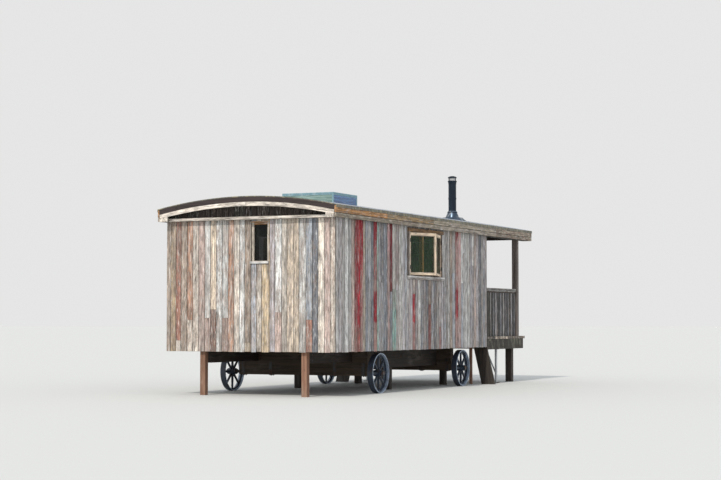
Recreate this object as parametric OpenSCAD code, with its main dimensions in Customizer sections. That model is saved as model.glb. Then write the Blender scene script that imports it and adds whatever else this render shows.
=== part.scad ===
// Shepherds hut: a boarded cabin with a bowed roof and a covered porch, on iron wheels and posts.
// X runs along the hut with the porch at +X, the long side with the main window faces -Y,
// Z is up from the ground, and the origin is under the middle of the roof.

/* [Cabin] */
// Length over the two end walls
body_len = 6700; // [6200:50:7400]
// Width over the two side walls
body_w = 3130; // [2900:10:3300]
// Height from the ground to the bottom edge of the walls
ground_clear = 720; // [700:5:800]
// Height of the side walls up to the eaves
wall_h = 2150; // [2130:10:2400]
// Thickness of the walls with their boards
wall_t = 110; // [90:5:130]
// Height of the floor's top above the bottom edge of the walls
floor_up = 200; // [190:5:240]
// Thickness of the floor
floor_t = 60; // [40:5:80]
// Width of a floor joist
joist_w = 60; // [45:5:80]
// Number of floor joists
joist_n = 9; // [5:1:13]

/* [Roof] */
// Radius of the roof's underside
roof_r = 7800; // [6000:50:9500]
// Height of the roof's underside above the eaves at the wall's face
eave_rise = 128; // [120:1:180]
// Thickness of the roof deck
deck_t = 80; // [50:5:100]
// Thickness of the roof covering
cover_t = 15; // [8:1:20]
// Gap between the wall's face and the back of the fascia
eave_gap = 57; // [40:1:90]
// Thickness of the fascia boards
fascia_t = 28; // [20:1:35]
// Height of the lower fascia board
fascia_low_h = 75; // [60:5:90]
// Height of the covering's edge that laps over the fascia
drip_h = 35; // [30:5:55]
// Thickness of the covering's edge
drip_t = 10; // [6:1:14]
// Length of the roof past the end wall
end_over = 150; // [110:5:220]
// Length of the roof past the porch wall
porch_over = 2350; // [2200:25:2800]
// Thickness of the bargeboards
barge_t = 28; // [20:1:40]
// Height of a bargeboard's bow
barge_h = 70; // [50:5:90]
// Width of a bargeboard's foot
barge_foot_w = 165; // [120:5:200]
// Depth of the ledge across the end wall
ledge_d = 80; // [60:5:100]
// Height of the ledge across the end wall
ledge_h = 50; // [40:2:70]
// Height of the eaves board
eave_board_h = 90; // [70:5:110]

/* [Side windows] */
// Distance from the end wall's face to the window
win_x = 2920; // [2400:10:3200]
// Width of the window opening
win_w = 1480; // [1200:10:1600]
// Height of the sill above the bottom edge of the walls
win_z = 1285; // [1100:5:1290]
// Height of the window opening
win_h = 790; // [650:10:800]
// Thickness of the window's lining
lining_t = 20; // [16:1:32]
// Width of the middle post
mullion_w = 60; // [40:2:80]
// Width of the boards round the window
casing_w = 66; // [55:1:85]
// Distance that these boards stand proud of the wall
casing_t = 26; // [18:1:35]
// Distance that the sill stands proud of the wall
sill_d = 45; // [36:1:60]
// Width of a casement's stiles and rails
sash_w = 58; // [45:1:70]
// Thickness of a casement
sash_t = 44; // [36:1:50]
// Clearance round a casement
sash_gap = 3; // [2:0.5:5]
// Thickness of the glass
glass_t = 6; // [4:1:10]
// Angle that the casement nearer the end wall stands open
open_a = 21; // [10:1:35]
// Angle that the casement nearer the porch stands open
open_b = 16; // [8:1:20]

/* [End window] */
// Distance from the middle of the end wall to the middle of the window
end_win_y = -193; // [-400:1:200]
// Width of the window opening
end_win_w = 342; // [280:2:450]
// Height of the window above the bottom edge of the walls
end_win_z = 1430; // [1100:10:1450]
// Height of the window opening
end_win_h = 690; // [500:10:700]
// Depth of the reveal in front of the frame
reveal = 40; // [25:1:50]
// Width of the frame's members
end_frame_w = 50; // [35:1:60]
// Height of the end window's sill
end_sill_h = 40; // [30:1:50]

/* [Door] */
// Width of the door opening
door_w = 860; // [760:10:950]
// Height of the door opening above the floor
door_h = 1900; // [1800:10:1910]
// Thickness of the door frame's members
door_frame_t = 40; // [30:1:50]
// Thickness of the door
door_t = 50; // [40:1:60]
// Clearance round the door
door_gap = 3; // [2:0.5:5]

/* [Rooflight and flue] */
// Distance from the end wall's face to the rooflight
light_x = 2100; // [1700:10:2600]
// Length of the rooflight
light_len = 970; // [800:10:1100]
// Width of the rooflight
light_w = 1000; // [800:10:1100]
// Height of the rooflight's top above the crown of the roof
light_up = 203; // [150:1:260]
// Thickness of the rooflight's kerb
kerb_t = 45; // [30:1:60]
// Thickness of the rooflight's glass lid
lid_t = 22; // [16:1:30]
// Distance from the porch wall's outer face back to the flue
flue_back = 500; // [480:10:900]
// Distance from the side wall's outer face in to the flue
flue_in = 515; // [400:5:700]
// Diameter of the flue
flue_d = 150; // [125:1:175]
// Height of the flue's top above the bottom edge of the walls
flue_top = 3300; // [3000:10:3500]
// Wall of the flue
flue_wall = 4; // [2:0.5:6]
// Distance that the cowl stands out from the flue
cowl_out = 12; // [6:1:20]
// Diameter of the flashing's plate
flash_d = 420; // [360:10:480]
// Height of the flashing's cone above the roof
flash_h = 150; // [90:5:180]

/* [Chassis] */
// Distance from the middle to each rail
rail_y = 900; // [800:10:1000]
// Width of a rail
rail_w = 100; // [80:5:120]
// Height of a rail
rail_h = 190; // [160:5:200]
// Height of the packer under each rail
packer_h = 140; // [100:5:160]
// Distance from the end wall's face to the first axle
axle_1_x = 1970; // [1700:10:2300]
// Distance from the end wall's face to the second axle
axle_2_x = 5700; // [5300:10:5900]
// Width of an axle bed
bed_w = 130; // [110:5:160]
// Distance that an axle bed ends inside the axle's collars
bed_in = 74; // [66:2:140]
// Height of an axle bed under the rails
bed_h = 240; // [200:5:250]
// Side of the axle's square bar
axle_sq = 50; // [40:1:56]
// Diameter of the axle's arm in the hub
arm_d = 45; // [36:1:50]
// Radial running clearance of the hub on its arm
hub_clear = 0.08; // [0.04:0.01:0.1]
// Gap between a hub and the collar or cap beside it
hub_gap = 5; // [3:1:6]
// Thickness of the collar and of the cap
collar_t = 16; // [12:1:24]
// Distance that the collar and the cap stand out from the arm
collar_out = 17; // [10:1:24]

/* [Wheels] */
// Diameter of a wheel
wheel_d = 680; // [640:5:690]
// Width of the tread
tread_w = 100; // [80:2:110]
// Thickness of the tread
tread_t = 16; // [12:1:22]
// Distance from the side wall's face to the wheel's face
wheel_in = 100; // [95:5:130]
// Length of the hub
hub_len = 160; // [130:5:165]
// Diameter of the hub
hub_d = 130; // [110:2:160]
// Length of the hub's thicker band
hub_band = 84; // [70:2:110]
// Step from that band down to the hub's ends
hub_step = 12; // [8:1:20]
// Depth of the rib inside the tread
rim_rib = 26; // [16:1:36]
// Thickness of that rib
rim_rib_t = 22; // [20:1:30]
// Number of spokes
spoke_n = 8; // [5:1:8]
// Width of a spoke at the hub
spoke_w_hub = 44; // [36:1:46]
// Width of a spoke at the rim
spoke_w_rim = 34; // [26:1:40]
// Thickness of a spoke
spoke_t = 16; // [12:1:24]
// Depth of the rib along a spoke
spoke_rib = 44; // [30:1:60]

/* [Posts] */
// Side of the posts under the end wall
end_post_w = 95; // [80:5:140]
// Distance from the middle to each post under the end wall
end_post_y = 940; // [800:10:1100]
// Distance that both of those posts stand towards the near side
end_post_shift = 40; // [0:5:60]
// Distance from the end wall's face to those posts
end_post_in = 60; // [20:5:100]
// Side of the posts under the rails
stay_w = 110; // [90:5:125]
// Distance from the end wall's face to the first pair under the rails
stay_1_x = 3450; // [3000:10:4200]
// Distance from the end wall's face to the second pair under the rails
stay_2_x = 6020; // [5950:10:6200]
// Side of the slim props under the porch wall
prop_w = 50; // [40:2:70]
// Distance from the middle to each slim prop
prop_y = 1235; // [1100:5:1350]

/* [Porch] */
// Thickness of the deck boards
porch_deck_t = 50; // [30:2:60]
// Length of the deck past the porch wall
porch_len = 2120; // [2050:10:2300]
// Distance that the deck's end stands past its rim
deck_nose = 80; // [40:5:100]
// Distance that the deck stands past the side walls
deck_side = 10; // [5:1:25]
// Height of the rim boards
rim_h = 200; // [180:5:210]
// Thickness of the rim boards
rim_t = 50; // [35:1:60]
// Height of the deck joists
porch_joist_h = 150; // [130:5:150]
// Distance from the side wall's face in to the outer joists
porch_joist_in = 155; // [140:5:220]
// Distance from the porch wall to the corner posts
corner_x = 1700; // [1500:10:1750]
// Length of a corner post's side along the porch
corner_w = 95; // [85:5:125]
// Distance from the porch wall to the posts under the deck
under_x = 1590; // [1400:10:1700]
// Side of the posts under the deck
under_w = 125; // [100:5:140]
// Height of the handrail above the deck
rail_up = 950; // [900:10:1000]
// Height of the handrail's section
hand_h = 60; // [40:2:70]
// Width of the handrail's section
hand_w = 72; // [60:2:90]
// Thickness of the balustrade's boards
bal_t = 30; // [20:1:36]
// Height of the beams over the porch
beam_h = 115; // [90:5:140]
// Distance from the porch wall to the bearer under the deck
bearer_x = 890; // [700:10:1000]
// Width of that bearer
bearer_w = 84; // [70:2:100]
// Diameter of the tube props
tube_d = 50; // [42:1:60]
// Diameter of the tube props' braces
brace_d = 28; // [22:1:34]
// Height at which a brace meets its prop
brace_low = 175; // [120:5:260]
// Distance that a brace's top stands in from its prop
brace_in = 215; // [150:5:260]
// Level width of the raking boards
rake_w = 270; // [230:5:290]
// Thickness of the raking boards
rake_t = 45; // [30:1:60]
// Distance from the side wall's face in to a raking board's outer edge at its top
rake_in = 20; // [15:1:40]
// Distance that a raking board's foot stands out from its top
rake_out = 165; // [120:5:200]
// Gap between the porch wall and a raking board
rake_off = 20; // [10:5:60]

/* [Hidden] */
$fn = 96;
roof_facets = 240;

// Colours as the photograph shows them
old_board = [0.60, 0.55, 0.50];
fascia_brown = [0.66, 0.50, 0.34];
fascia_grey = [0.55, 0.54, 0.50];
pale_trim = [0.83, 0.78, 0.66];
new_wood = [0.87, 0.74, 0.52];
dark_wood = [0.27, 0.22, 0.19];
post_wood = [0.47, 0.30, 0.21];
deck_wood = [0.62, 0.52, 0.41];
roof_grey = [0.60, 0.64, 0.68];
iron = [0.36, 0.40, 0.46];
steel = [0.74, 0.76, 0.77];
flue_black = [0.10, 0.11, 0.14];
glass_tint = [0.55, 0.70, 0.72, 0.4];

// Places along the hut
roof_len = end_over + body_len + porch_over;
x_end = end_over - roof_len / 2;
x_porch = x_end + body_len;
x_in_0 = x_end + wall_t;
x_in_1 = x_porch - wall_t;
in_len = body_len - 2 * wall_t;

// Places across the hut
y_wall = body_w / 2;
y_in = y_wall - wall_t;
y_fascia = y_wall + eave_gap;
y_edge = y_fascia + fascia_t;

// Levels
z_wall = ground_clear;
z_eave = z_wall + wall_h;
z_floor = z_wall + floor_up;
z_joist = z_wall;
joist_h = floor_up - floor_t;
z_rail = z_wall - rail_h;
z_bed = z_rail - bed_h;
z_axle = wheel_d / 2;
x_flue = x_porch - flue_back;
y_flue = y_wall - flue_in;
z_centre = z_eave + eave_rise - sqrt(pow(roof_r, 2) - pow(y_wall, 2));
z_crown = z_centre + roof_r + deck_t + cover_t;

// Porch
porch_rim_len = porch_len - deck_nose;
z_porch_deck = z_floor - porch_deck_t;
z_porch_joist = z_porch_deck - porch_joist_h;
z_rim = z_porch_deck - rim_h;
porch_joist_y = y_wall - porch_joist_in;
x_corner = x_porch + corner_x;
x_under = x_porch + under_x;
x_bearer = x_porch + bearer_x;

// Wheels
y_wheel = y_wall - wheel_in - tread_w / 2;
y_hub_in = y_wheel - hub_len / 2;
y_hub_out = y_wheel + hub_len / 2;
y_collar = y_hub_in - hub_gap - collar_t;
bed_len = 2 * (y_collar - bed_in);

// Clearance of a piece at its seat
fit_gap = 0.3;

// Rough size of a cutting solid that reaches past everything
far_off = 20000;

// A block from its lowest corner and its size
module block(x, y, z, dx, dy, dz) {
    translate([x, y, z])
    cube([dx, dy, dz]);
}

// The two sides of the hut: the near side at -Y and its mirror image
module both_sides() {
    children();
    mirror([0, 1, 0])
    children();
}

// A cylinder along X that follows the bow of the roof
module bow(radius) {
    translate([-far_off / 2, 0, z_centre])
    rotate([0, 90, 0])
    cylinder(h = far_off, r = radius, $fn = roof_facets);
}

// What lies under the roof deck
module under_roof() {
    intersection() {
        bow(roof_r);
        children();
    }
}

// A curved sheet that follows the roof, from one radius to the next
module roof_sheet(r_low, r_high, x, dx, half) {
    intersection() {
        difference() {
            bow(r_high);
            bow(r_low);
        }
        block(x, -half, z_eave - drip_h, dx, 2 * half, far_off / 10);
    }
}

// A frame of four members round an opening in the XZ plane
module ring_xz(x, y, z, w, h, t, depth) {
    difference() {
        block(x, y, z, w, depth, h);
        block(x + t, y - 1, z + t, w - 2 * t, depth + 2, h - 2 * t);
    }
}

// A frame of four members round an opening in the YZ plane
module ring_yz(x, y, z, w, h, t, depth) {
    difference() {
        block(x, y, z, depth, w, h);
        block(x - 1, y + t, z + t, depth + 2, w - 2 * t, h - 2 * t);
    }
}

// Posts and props

module end_posts() {
    color(post_wood)
    translate([0, -end_post_shift, 0])
    both_sides()
    block(x_end + end_post_in, -end_post_y - end_post_w / 2, 0, end_post_w, end_post_w, z_wall);
}

module rail_posts() {
    color(dark_wood)
    both_sides() {
        block(x_end + stay_1_x, -rail_y - stay_w / 2, 0, stay_w, stay_w, z_rail - packer_h);
        block(x_end + stay_2_x, -rail_y - stay_w / 2, 0, stay_w, stay_w, z_rail);
    }
}

module slim_props() {
    color(post_wood)
    both_sides()
    block(x_porch - prop_w, -prop_y - prop_w / 2, 0, prop_w, prop_w, z_wall);
}

// Chassis

rail_in = 250;
module chassis_rails() {
    color(dark_wood)
    both_sides()
    block(x_end + rail_in, -rail_y - rail_w / 2, z_rail, body_len - 2 * rail_in, rail_w, rail_h);
}

module rail_packers() {
    x_0 = x_end + axle_1_x + bed_w / 2;
    x_1 = x_end + axle_2_x - bed_w / 2;
    color(dark_wood)
    both_sides()
    block(x_0, -rail_y - rail_w / 2, z_rail - packer_h, x_1 - x_0, rail_w, packer_h);
}

// A bed under the rails that holds the axle's bar from below, with the bolster over it
module axle_bed(x) {
    difference() {
        block(x - bed_w / 2, -bed_len / 2, z_bed, bed_w, bed_len, bed_h + rail_h);
        both_sides()
        block(x - bed_w, -rail_y - rail_w / 2, z_rail, 2 * bed_w, rail_w, rail_h + 1);
        block(x - axle_sq / 2, -bed_len, z_bed - 1, axle_sq, 2 * bed_len, z_axle + axle_sq / 2 - z_bed + 1);
    }
}

module axle_beds() {
    color(dark_wood)
    for (x = [x_end + axle_1_x, x_end + axle_2_x])
        axle_bed(x);
}

// A round bar across the hut on the axle's line, from one distance to the next on the near side
module arm_part(x, y_0, y_1, d) {
    translate([x, -y_0, z_axle])
    rotate([90, 0, 0])
    cylinder(h = y_1 - y_0, d = d);
}

module axle(x) {
    collar_d = arm_d + 2 * collar_out;
    color(iron)
    union() {
        block(x - axle_sq / 2, -y_collar, z_axle - axle_sq / 2, axle_sq, 2 * y_collar, axle_sq);
        both_sides() {
            arm_part(x, y_collar, y_hub_in - hub_gap, collar_d);
            arm_part(x, y_hub_in - hub_gap - 1, y_hub_out + hub_gap + 1, arm_d);
            arm_part(x, y_hub_out + hub_gap, y_hub_out + hub_gap + collar_t, collar_d);
        }
    }
}

module axle_1() {
    axle(x_end + axle_1_x);
}

module axle_2() {
    axle(x_end + axle_2_x);
}

// One spoke of the cast wheel: a tapered blade with a rib along it
module spoke() {
    r_0 = hub_d / 2 - 8;
    r_1 = wheel_d / 2 - tread_t + 3;
    blade = [[r_0, -spoke_w_hub / 2], [r_1, -spoke_w_rim / 2], [r_1, spoke_w_rim / 2], [r_0, spoke_w_hub / 2]];
    rib = [[r_0, -spoke_rib / 2], [r_1, -spoke_rib / 3], [r_1, spoke_rib / 3], [r_0, spoke_rib / 2]];
    translate([0, 0, -spoke_t / 2])
    linear_extrude(spoke_t)
    polygon(blade);
    rotate([90, 0, 0])
    translate([0, 0, -spoke_t / 2])
    linear_extrude(spoke_t)
    polygon(rib);
}

// A flat ring about the Z axis, centred on it
module ring(r_out, r_in, h) {
    difference() {
        cylinder(h = h, r = r_out, center = true, $fn = 180);
        cylinder(h = h + 2, r = r_in, center = true, $fn = 180);
    }
}

// The cast wheel about the Z axis: a tread with an inner rib, spokes and a banded hub
module cast_wheel() {
    r_tread = wheel_d / 2;
    r_under = r_tread - tread_t;
    difference() {
        union() {
            ring(r_tread, r_under, tread_w);
            ring(r_under + 2, r_under - rim_rib, rim_rib_t);
            cylinder(h = hub_len, d = hub_d - 2 * hub_step, center = true);
            cylinder(h = hub_band, d = hub_d, center = true);
            for (i = [0 : spoke_n - 1])
                rotate([0, 0, i * 360 / spoke_n])
                spoke();
        }
        cylinder(h = 2 * hub_len, r = arm_d / 2 + hub_clear, center = true);
    }
}

module wheel(x, side) {
    color(iron)
    translate([x, side * y_wheel, z_axle])
    rotate([90, 0, 0])
    cast_wheel();
}

module wheel_1_near() {
    wheel(x_end + axle_1_x, -1);
}

module wheel_1_far() {
    wheel(x_end + axle_1_x, 1);
}

module wheel_2_near() {
    wheel(x_end + axle_2_x, -1);
}

module wheel_2_far() {
    wheel(x_end + axle_2_x, 1);
}

// Floor

module floor_joists() {
    step = (in_len - joist_w) / (joist_n - 1);
    color(dark_wood)
    for (i = [0 : joist_n - 1])
        block(x_in_0 + i * step, -y_in, z_joist, joist_w, 2 * y_in, joist_h);
}

module floor_deck() {
    color(deck_wood)
    block(x_in_0, -y_in, z_floor - floor_t, in_len, 2 * y_in, floor_t);
}

// Walls

wall_top = 2 * wall_h;
module near_wall() {
    color(old_board)
    under_roof()
    difference() {
        block(x_in_0, -y_wall, z_wall, in_len, wall_t, wall_top);
        block(x_end + win_x, -y_wall - 1, z_wall + win_z, win_w, wall_t + 2, win_h);
    }
}

module far_wall() {
    mirror([0, 1, 0])
    near_wall();
}

module end_wall() {
    color(old_board)
    under_roof()
    difference() {
        block(x_end, -y_wall, z_wall, wall_t, body_w, wall_top);
        block(x_end - 1, end_win_y - end_win_w / 2, z_wall + end_win_z, wall_t + 2, end_win_w, end_win_h);
    }
}

module porch_wall() {
    color(old_board)
    under_roof()
    difference() {
        block(x_in_1, -y_wall, z_wall, wall_t, body_w, wall_top);
        block(x_in_1 - 1, -door_w / 2, z_floor, wall_t + 2, door_w, door_h);
    }
}

module door_frame() {
    color(new_wood)
    difference() {
        block(x_in_1, -door_w / 2, z_floor, wall_t, door_w, door_h);
        block(x_in_1 - 1, -door_w / 2 + door_frame_t, z_floor - 1,
              wall_t + 2, door_w - 2 * door_frame_t, door_h - door_frame_t + 1);
    }
}

module door_leaf() {
    leaf_w = door_w - 2 * door_frame_t - 2 * door_gap;
    leaf_h = door_h - door_frame_t - 2 * door_gap;
    y_hinge = -door_w / 2 + door_frame_t + fit_gap;
    color(old_board)
    block(x_in_1 + (wall_t - door_t) / 2, y_hinge, z_floor + door_gap, door_t, leaf_w, leaf_h);
}

// Side windows

leaf_w = (win_w - 2 * lining_t - mullion_w) / 2 - 2 * sash_gap;
leaf_h = win_h - 2 * lining_t - 2 * sash_gap;
leaf_z = z_wall + win_z + lining_t + sash_gap;
hinge_a = x_end + win_x + lining_t + fit_gap;
hinge_b = x_end + win_x + win_w - lining_t - fit_gap;
casing_lap = 10;
casing_out = casing_w - casing_lap;

module near_window_frame() {
    x = x_end + win_x;
    z = z_wall + win_z;
    color(pale_trim)
    union() {
        ring_xz(x, -y_wall, z, win_w, win_h, lining_t, wall_t);
        block(x + (win_w - mullion_w) / 2, -y_wall + sash_t, z, mullion_w, wall_t - sash_t, win_h);
        ring_xz(x - casing_out, -y_wall - casing_t, z - casing_out,
                win_w + 2 * casing_out, win_h + 2 * casing_out, casing_w, casing_t);
        block(x - casing_out, -y_wall - sill_d, z - casing_out / 2, win_w + 2 * casing_out, sill_d,
              casing_out / 2 + casing_lap);
    }
}

// A casement about its hinge line, swung out by an angle; dir is 1 where it reaches along +X
module swung(x, dir, angle) {
    translate([x, -y_wall, leaf_z])
    rotate([0, 0, -dir * angle])
    translate([dir > 0 ? 0 : -leaf_w, 0, 0])
    children();
}

module near_window_sashes() {
    color(new_wood) {
        swung(hinge_a, 1, open_a)
        ring_xz(0, 0, 0, leaf_w, leaf_h, sash_w, sash_t);
        swung(hinge_b, -1, open_b)
        ring_xz(0, 0, 0, leaf_w, leaf_h, sash_w, sash_t);
    }
}

module pane() {
    block(sash_w, (sash_t - glass_t) / 2, sash_w, leaf_w - 2 * sash_w, glass_t, leaf_h - 2 * sash_w);
}

module near_window_glass() {
    color(glass_tint) {
        swung(hinge_a, 1, open_a)
        pane();
        swung(hinge_b, -1, open_b)
        pane();
    }
}

module far_window_frame() {
    mirror([0, 1, 0])
    near_window_frame();
}

module far_window_sashes() {
    mirror([0, 1, 0])
    near_window_sashes();
}

module far_window_glass() {
    mirror([0, 1, 0])
    near_window_glass();
}

// End window

module end_window_frame() {
    y = end_win_y - end_win_w / 2;
    z = z_wall + end_win_z;
    color(pale_trim)
    union() {
        ring_yz(x_end + reveal, y, z, end_win_w, end_win_h, end_frame_w, wall_t - reveal);
        block(x_end - sill_d / 2, y, z, reveal + sill_d / 2, end_win_w, end_sill_h);
    }
}

module end_window_glass() {
    y = end_win_y - end_win_w / 2 + end_frame_w;
    z = z_wall + end_win_z + end_frame_w;
    color(glass_tint)
    block(x_end + reveal + (wall_t - reveal - glass_t) / 2, y, z,
          glass_t, end_win_w - 2 * end_frame_w, end_win_h - 2 * end_frame_w);
}

// Roof

light_x_0 = x_end + light_x;
module light_opening() {
    block(light_x_0, -light_w / 2, z_eave, light_len, light_w, far_off / 10);
}

flue_cut = 6;
module flue_opening() {
    translate([x_flue, -y_flue, z_eave])
    cylinder(h = far_off / 10, d = flue_d + 2 * flue_cut);
}

module roof_deck() {
    color(dark_wood)
    difference() {
        roof_sheet(roof_r, roof_r + deck_t, -roof_len / 2, roof_len, y_fascia);
        light_opening();
        flue_opening();
    }
}

module roof_cover() {
    r_cover = roof_r + deck_t;
    edge_z = z_centre + sqrt(pow(r_cover, 2) - pow(y_edge, 2)) - drip_h;
    color(roof_grey)
    difference() {
        union() {
            roof_sheet(r_cover, r_cover + cover_t, -roof_len / 2, roof_len, y_edge + drip_t);
            both_sides()
            intersection() {
                bow(r_cover + cover_t / 2);
                block(-roof_len / 2, -y_edge - drip_t, edge_z, roof_len, drip_t, 2 * drip_h);
            }
        }
        light_opening();
        flue_opening();
    }
}

module upper_fascias() {
    color(fascia_brown)
    both_sides()
    intersection() {
        bow(roof_r + deck_t);
        block(-roof_len / 2, -y_edge, z_eave + fascia_low_h, roof_len, fascia_t, wall_h);
    }
}

module lower_fascias() {
    color(fascia_grey)
    both_sides()
    block(-roof_len / 2, -y_edge, z_eave, roof_len, fascia_t, fascia_low_h);
}

module eave_boards() {
    color(fascia_grey)
    both_sides()
    block(-roof_len / 2 + barge_t, -y_fascia, z_eave + 15, roof_len - 2 * barge_t, eave_gap, eave_board_h);
}

module bargeboard(x) {
    foot_z = 2 * eave_rise;
    union() {
        roof_sheet(roof_r - barge_h, roof_r, x, barge_t, y_fascia);
        under_roof()
        both_sides()
        block(x, -y_fascia, z_eave, barge_t, barge_foot_w, foot_z);
    }
}

module bargeboards() {
    color(pale_trim) {
        bargeboard(-roof_len / 2);
        bargeboard(roof_len / 2 - barge_t);
    }
}

module end_ledge() {
    color(pale_trim)
    block(x_end - ledge_d, -y_wall, z_eave, ledge_d, body_w, ledge_h);
}

// Rooflight

z_light = z_crown + light_up;
module rooflight_kerb() {
    z_low = z_centre + roof_r - 2 * kerb_t;
    color(steel)
    difference() {
        block(light_x_0, -light_w / 2, z_low, light_len, light_w, z_light - lid_t - z_low);
        block(light_x_0 + kerb_t, -light_w / 2 + kerb_t, z_low - 1,
              light_len - 2 * kerb_t, light_w - 2 * kerb_t, far_off / 10);
    }
}

module rooflight_lid() {
    color(glass_tint)
    block(light_x_0, -light_w / 2, z_light - lid_t, light_len, light_w, lid_t);
}

// Flue

z_flue = z_wall + flue_top;
cowl_h = 125;
module flue_pipe() {
    z_low = z_centre + sqrt(pow(roof_r, 2) - pow(y_flue, 2)) - flue_d;
    color(flue_black)
    translate([x_flue, -y_flue, z_low])
    difference() {
        cylinder(h = z_flue - cowl_h - z_low, d = flue_d);
        translate([0, 0, -1])
        cylinder(h = far_off, d = flue_d - 2 * flue_wall);
    }
}

module flue_cowl() {
    cowl_d = flue_d + 2 * cowl_out;
    color(flue_black)
    translate([x_flue, -y_flue, z_flue - cowl_h])
    difference() {
        cylinder(h = cowl_h, d = cowl_d);
        translate([0, 0, cowl_h / 4])
        cylinder(h = cowl_h / 2, d = cowl_d - 2 * flue_wall);
        translate([0, 0, -1])
        cylinder(h = cowl_h - flue_wall, d = flue_d - 2 * flue_wall);
    }
}

module flue_flashing() {
    r_top = roof_r + deck_t + cover_t;
    z_seat = z_centre + sqrt(pow(r_top, 2) - pow(y_flue, 2));
    plate_t = 8;
    color(steel)
    difference() {
        union() {
            intersection() {
                difference() {
                    bow(r_top + plate_t);
                    bow(r_top);
                }
                translate([x_flue, -y_flue, z_eave])
                cylinder(h = far_off / 10, d = flash_d);
            }
            difference() {
                translate([x_flue, -y_flue, z_seat - flash_h / 2])
                cylinder(h = 1.5 * flash_h, d1 = flash_d * 0.86, d2 = flue_d + 14);
                bow(r_top + plate_t / 2);
            }
        }
        translate([x_flue, -y_flue, z_eave])
        cylinder(h = far_off / 10, d = flue_d + 2 * fit_gap);
    }
}

// Porch

module porch_frame() {
    joist_len = porch_rim_len - rim_t;
    color(dark_wood)
    union() {
        both_sides() {
            block(x_porch, -y_wall, z_rim, porch_rim_len, rim_t, rim_h);
            block(x_porch, -porch_joist_y - joist_w / 2, z_porch_joist, joist_len, joist_w, porch_joist_h);
            block(x_porch, -porch_joist_y / 2 - joist_w / 2, z_porch_joist, joist_len, joist_w, porch_joist_h);
        }
        block(x_porch, -joist_w / 2, z_porch_joist, joist_len, joist_w, porch_joist_h);
        block(x_porch + joist_len, -y_wall, z_rim, rim_t, body_w, rim_h);
        block(x_bearer - bearer_w / 2, -y_wall, z_rim, bearer_w, body_w, z_porch_joist - z_rim);
    }
}

module porch_deck() {
    y_deck = y_wall + deck_side;
    color(deck_wood)
    block(x_porch, -y_deck, z_porch_deck, porch_len, 2 * y_deck, porch_deck_t);
}

module under_posts() {
    color(dark_wood)
    both_sides()
    block(x_under, -porch_joist_y - under_w / 2, 0, under_w, under_w, z_porch_joist);
}

module tube_props() {
    lean = atan2(brace_in, z_rim - brace_low);
    color(steel)
    both_sides() {
        translate([x_bearer, -porch_joist_y, 0])
        cylinder(h = z_rim, d = tube_d);
        intersection() {
            translate([x_bearer, -porch_joist_y, brace_low])
            rotate([-lean, 0, 0])
            cylinder(h = 2 * (z_rim - brace_low), d = brace_d);
            block(x_bearer - brace_d, -y_wall, 0, 2 * brace_d, y_wall, z_rim);
        }
    }
}

// A board under the porch that rakes outwards to its foot, cut round the rim board at its top
module raking_boards() {
    y_top = -y_wall + rake_in;
    y_foot = y_top - rake_out;
    y_rim_in = -y_wall + rim_t;
    y_at_rim = y_top - rake_out * (1 - z_rim / z_porch_joist);
    outline = [[y_rim_in, z_porch_joist], [y_top + rake_w, z_porch_joist], [y_foot + rake_w, 0],
               [y_foot, 0], [y_at_rim, z_rim], [y_rim_in, z_rim]];
    color(dark_wood)
    both_sides()
    translate([x_porch + rake_off, 0, 0])
    rotate([90, 0, 90])
    linear_extrude(rake_t)
    polygon(outline);
}

module corner_posts() {
    color(dark_wood)
    both_sides()
    block(x_corner, -y_wall, z_floor, corner_w, wall_t, z_eave - z_floor);
}

module porch_beams() {
    color(dark_wood)
    under_roof()
    union() {
        both_sides()
        block(x_porch, -y_wall, z_eave, porch_over - barge_t, wall_t, wall_h);
        block(x_corner, -y_wall, z_eave, corner_w, body_w, beam_h);
    }
}

module balustrade_near() {
    y_mid = -y_wall + wall_t / 2;
    z_boards = rail_up - hand_h;
    color(fascia_grey)
    union() {
        block(x_porch, y_mid - bal_t / 2, z_floor, corner_x, bal_t, z_boards + 1);
        block(x_porch, y_mid - hand_w / 2, z_floor + z_boards, corner_x, hand_w, hand_h);
    }
}

module balustrade_far() {
    mirror([0, 1, 0])
    balustrade_near();
}

end_posts();
rail_posts();
slim_props();
chassis_rails();
rail_packers();
axle_beds();
axle_1();
axle_2();
wheel_1_near();
wheel_1_far();
wheel_2_near();
wheel_2_far();
floor_joists();
floor_deck();
near_wall();
far_wall();
end_wall();
porch_wall();
door_frame();
door_leaf();
near_window_frame();
near_window_sashes();
near_window_glass();
far_window_frame();
far_window_sashes();
far_window_glass();
end_window_frame();
end_window_glass();
roof_deck();
roof_cover();
upper_fascias();
lower_fascias();
eave_boards();
bargeboards();
end_ledge();
rooflight_kerb();
rooflight_lid();
flue_pipe();
flue_cowl();
flue_flashing();
porch_frame();
porch_deck();
under_posts();
tube_props();
raking_boards();
corner_posts();
porch_beams();
balustrade_near();
balustrade_far();
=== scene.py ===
"""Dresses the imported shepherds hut: cladding, joinery, roof trim, porch, ironwork and finishes."""

import random
from math import asin, cos, pi, radians, sin, sqrt, tau

import bpy
from bpy.props import FloatProperty, FloatVectorProperty, IntProperty, PointerProperty
from mathutils import Matrix, Vector


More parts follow.
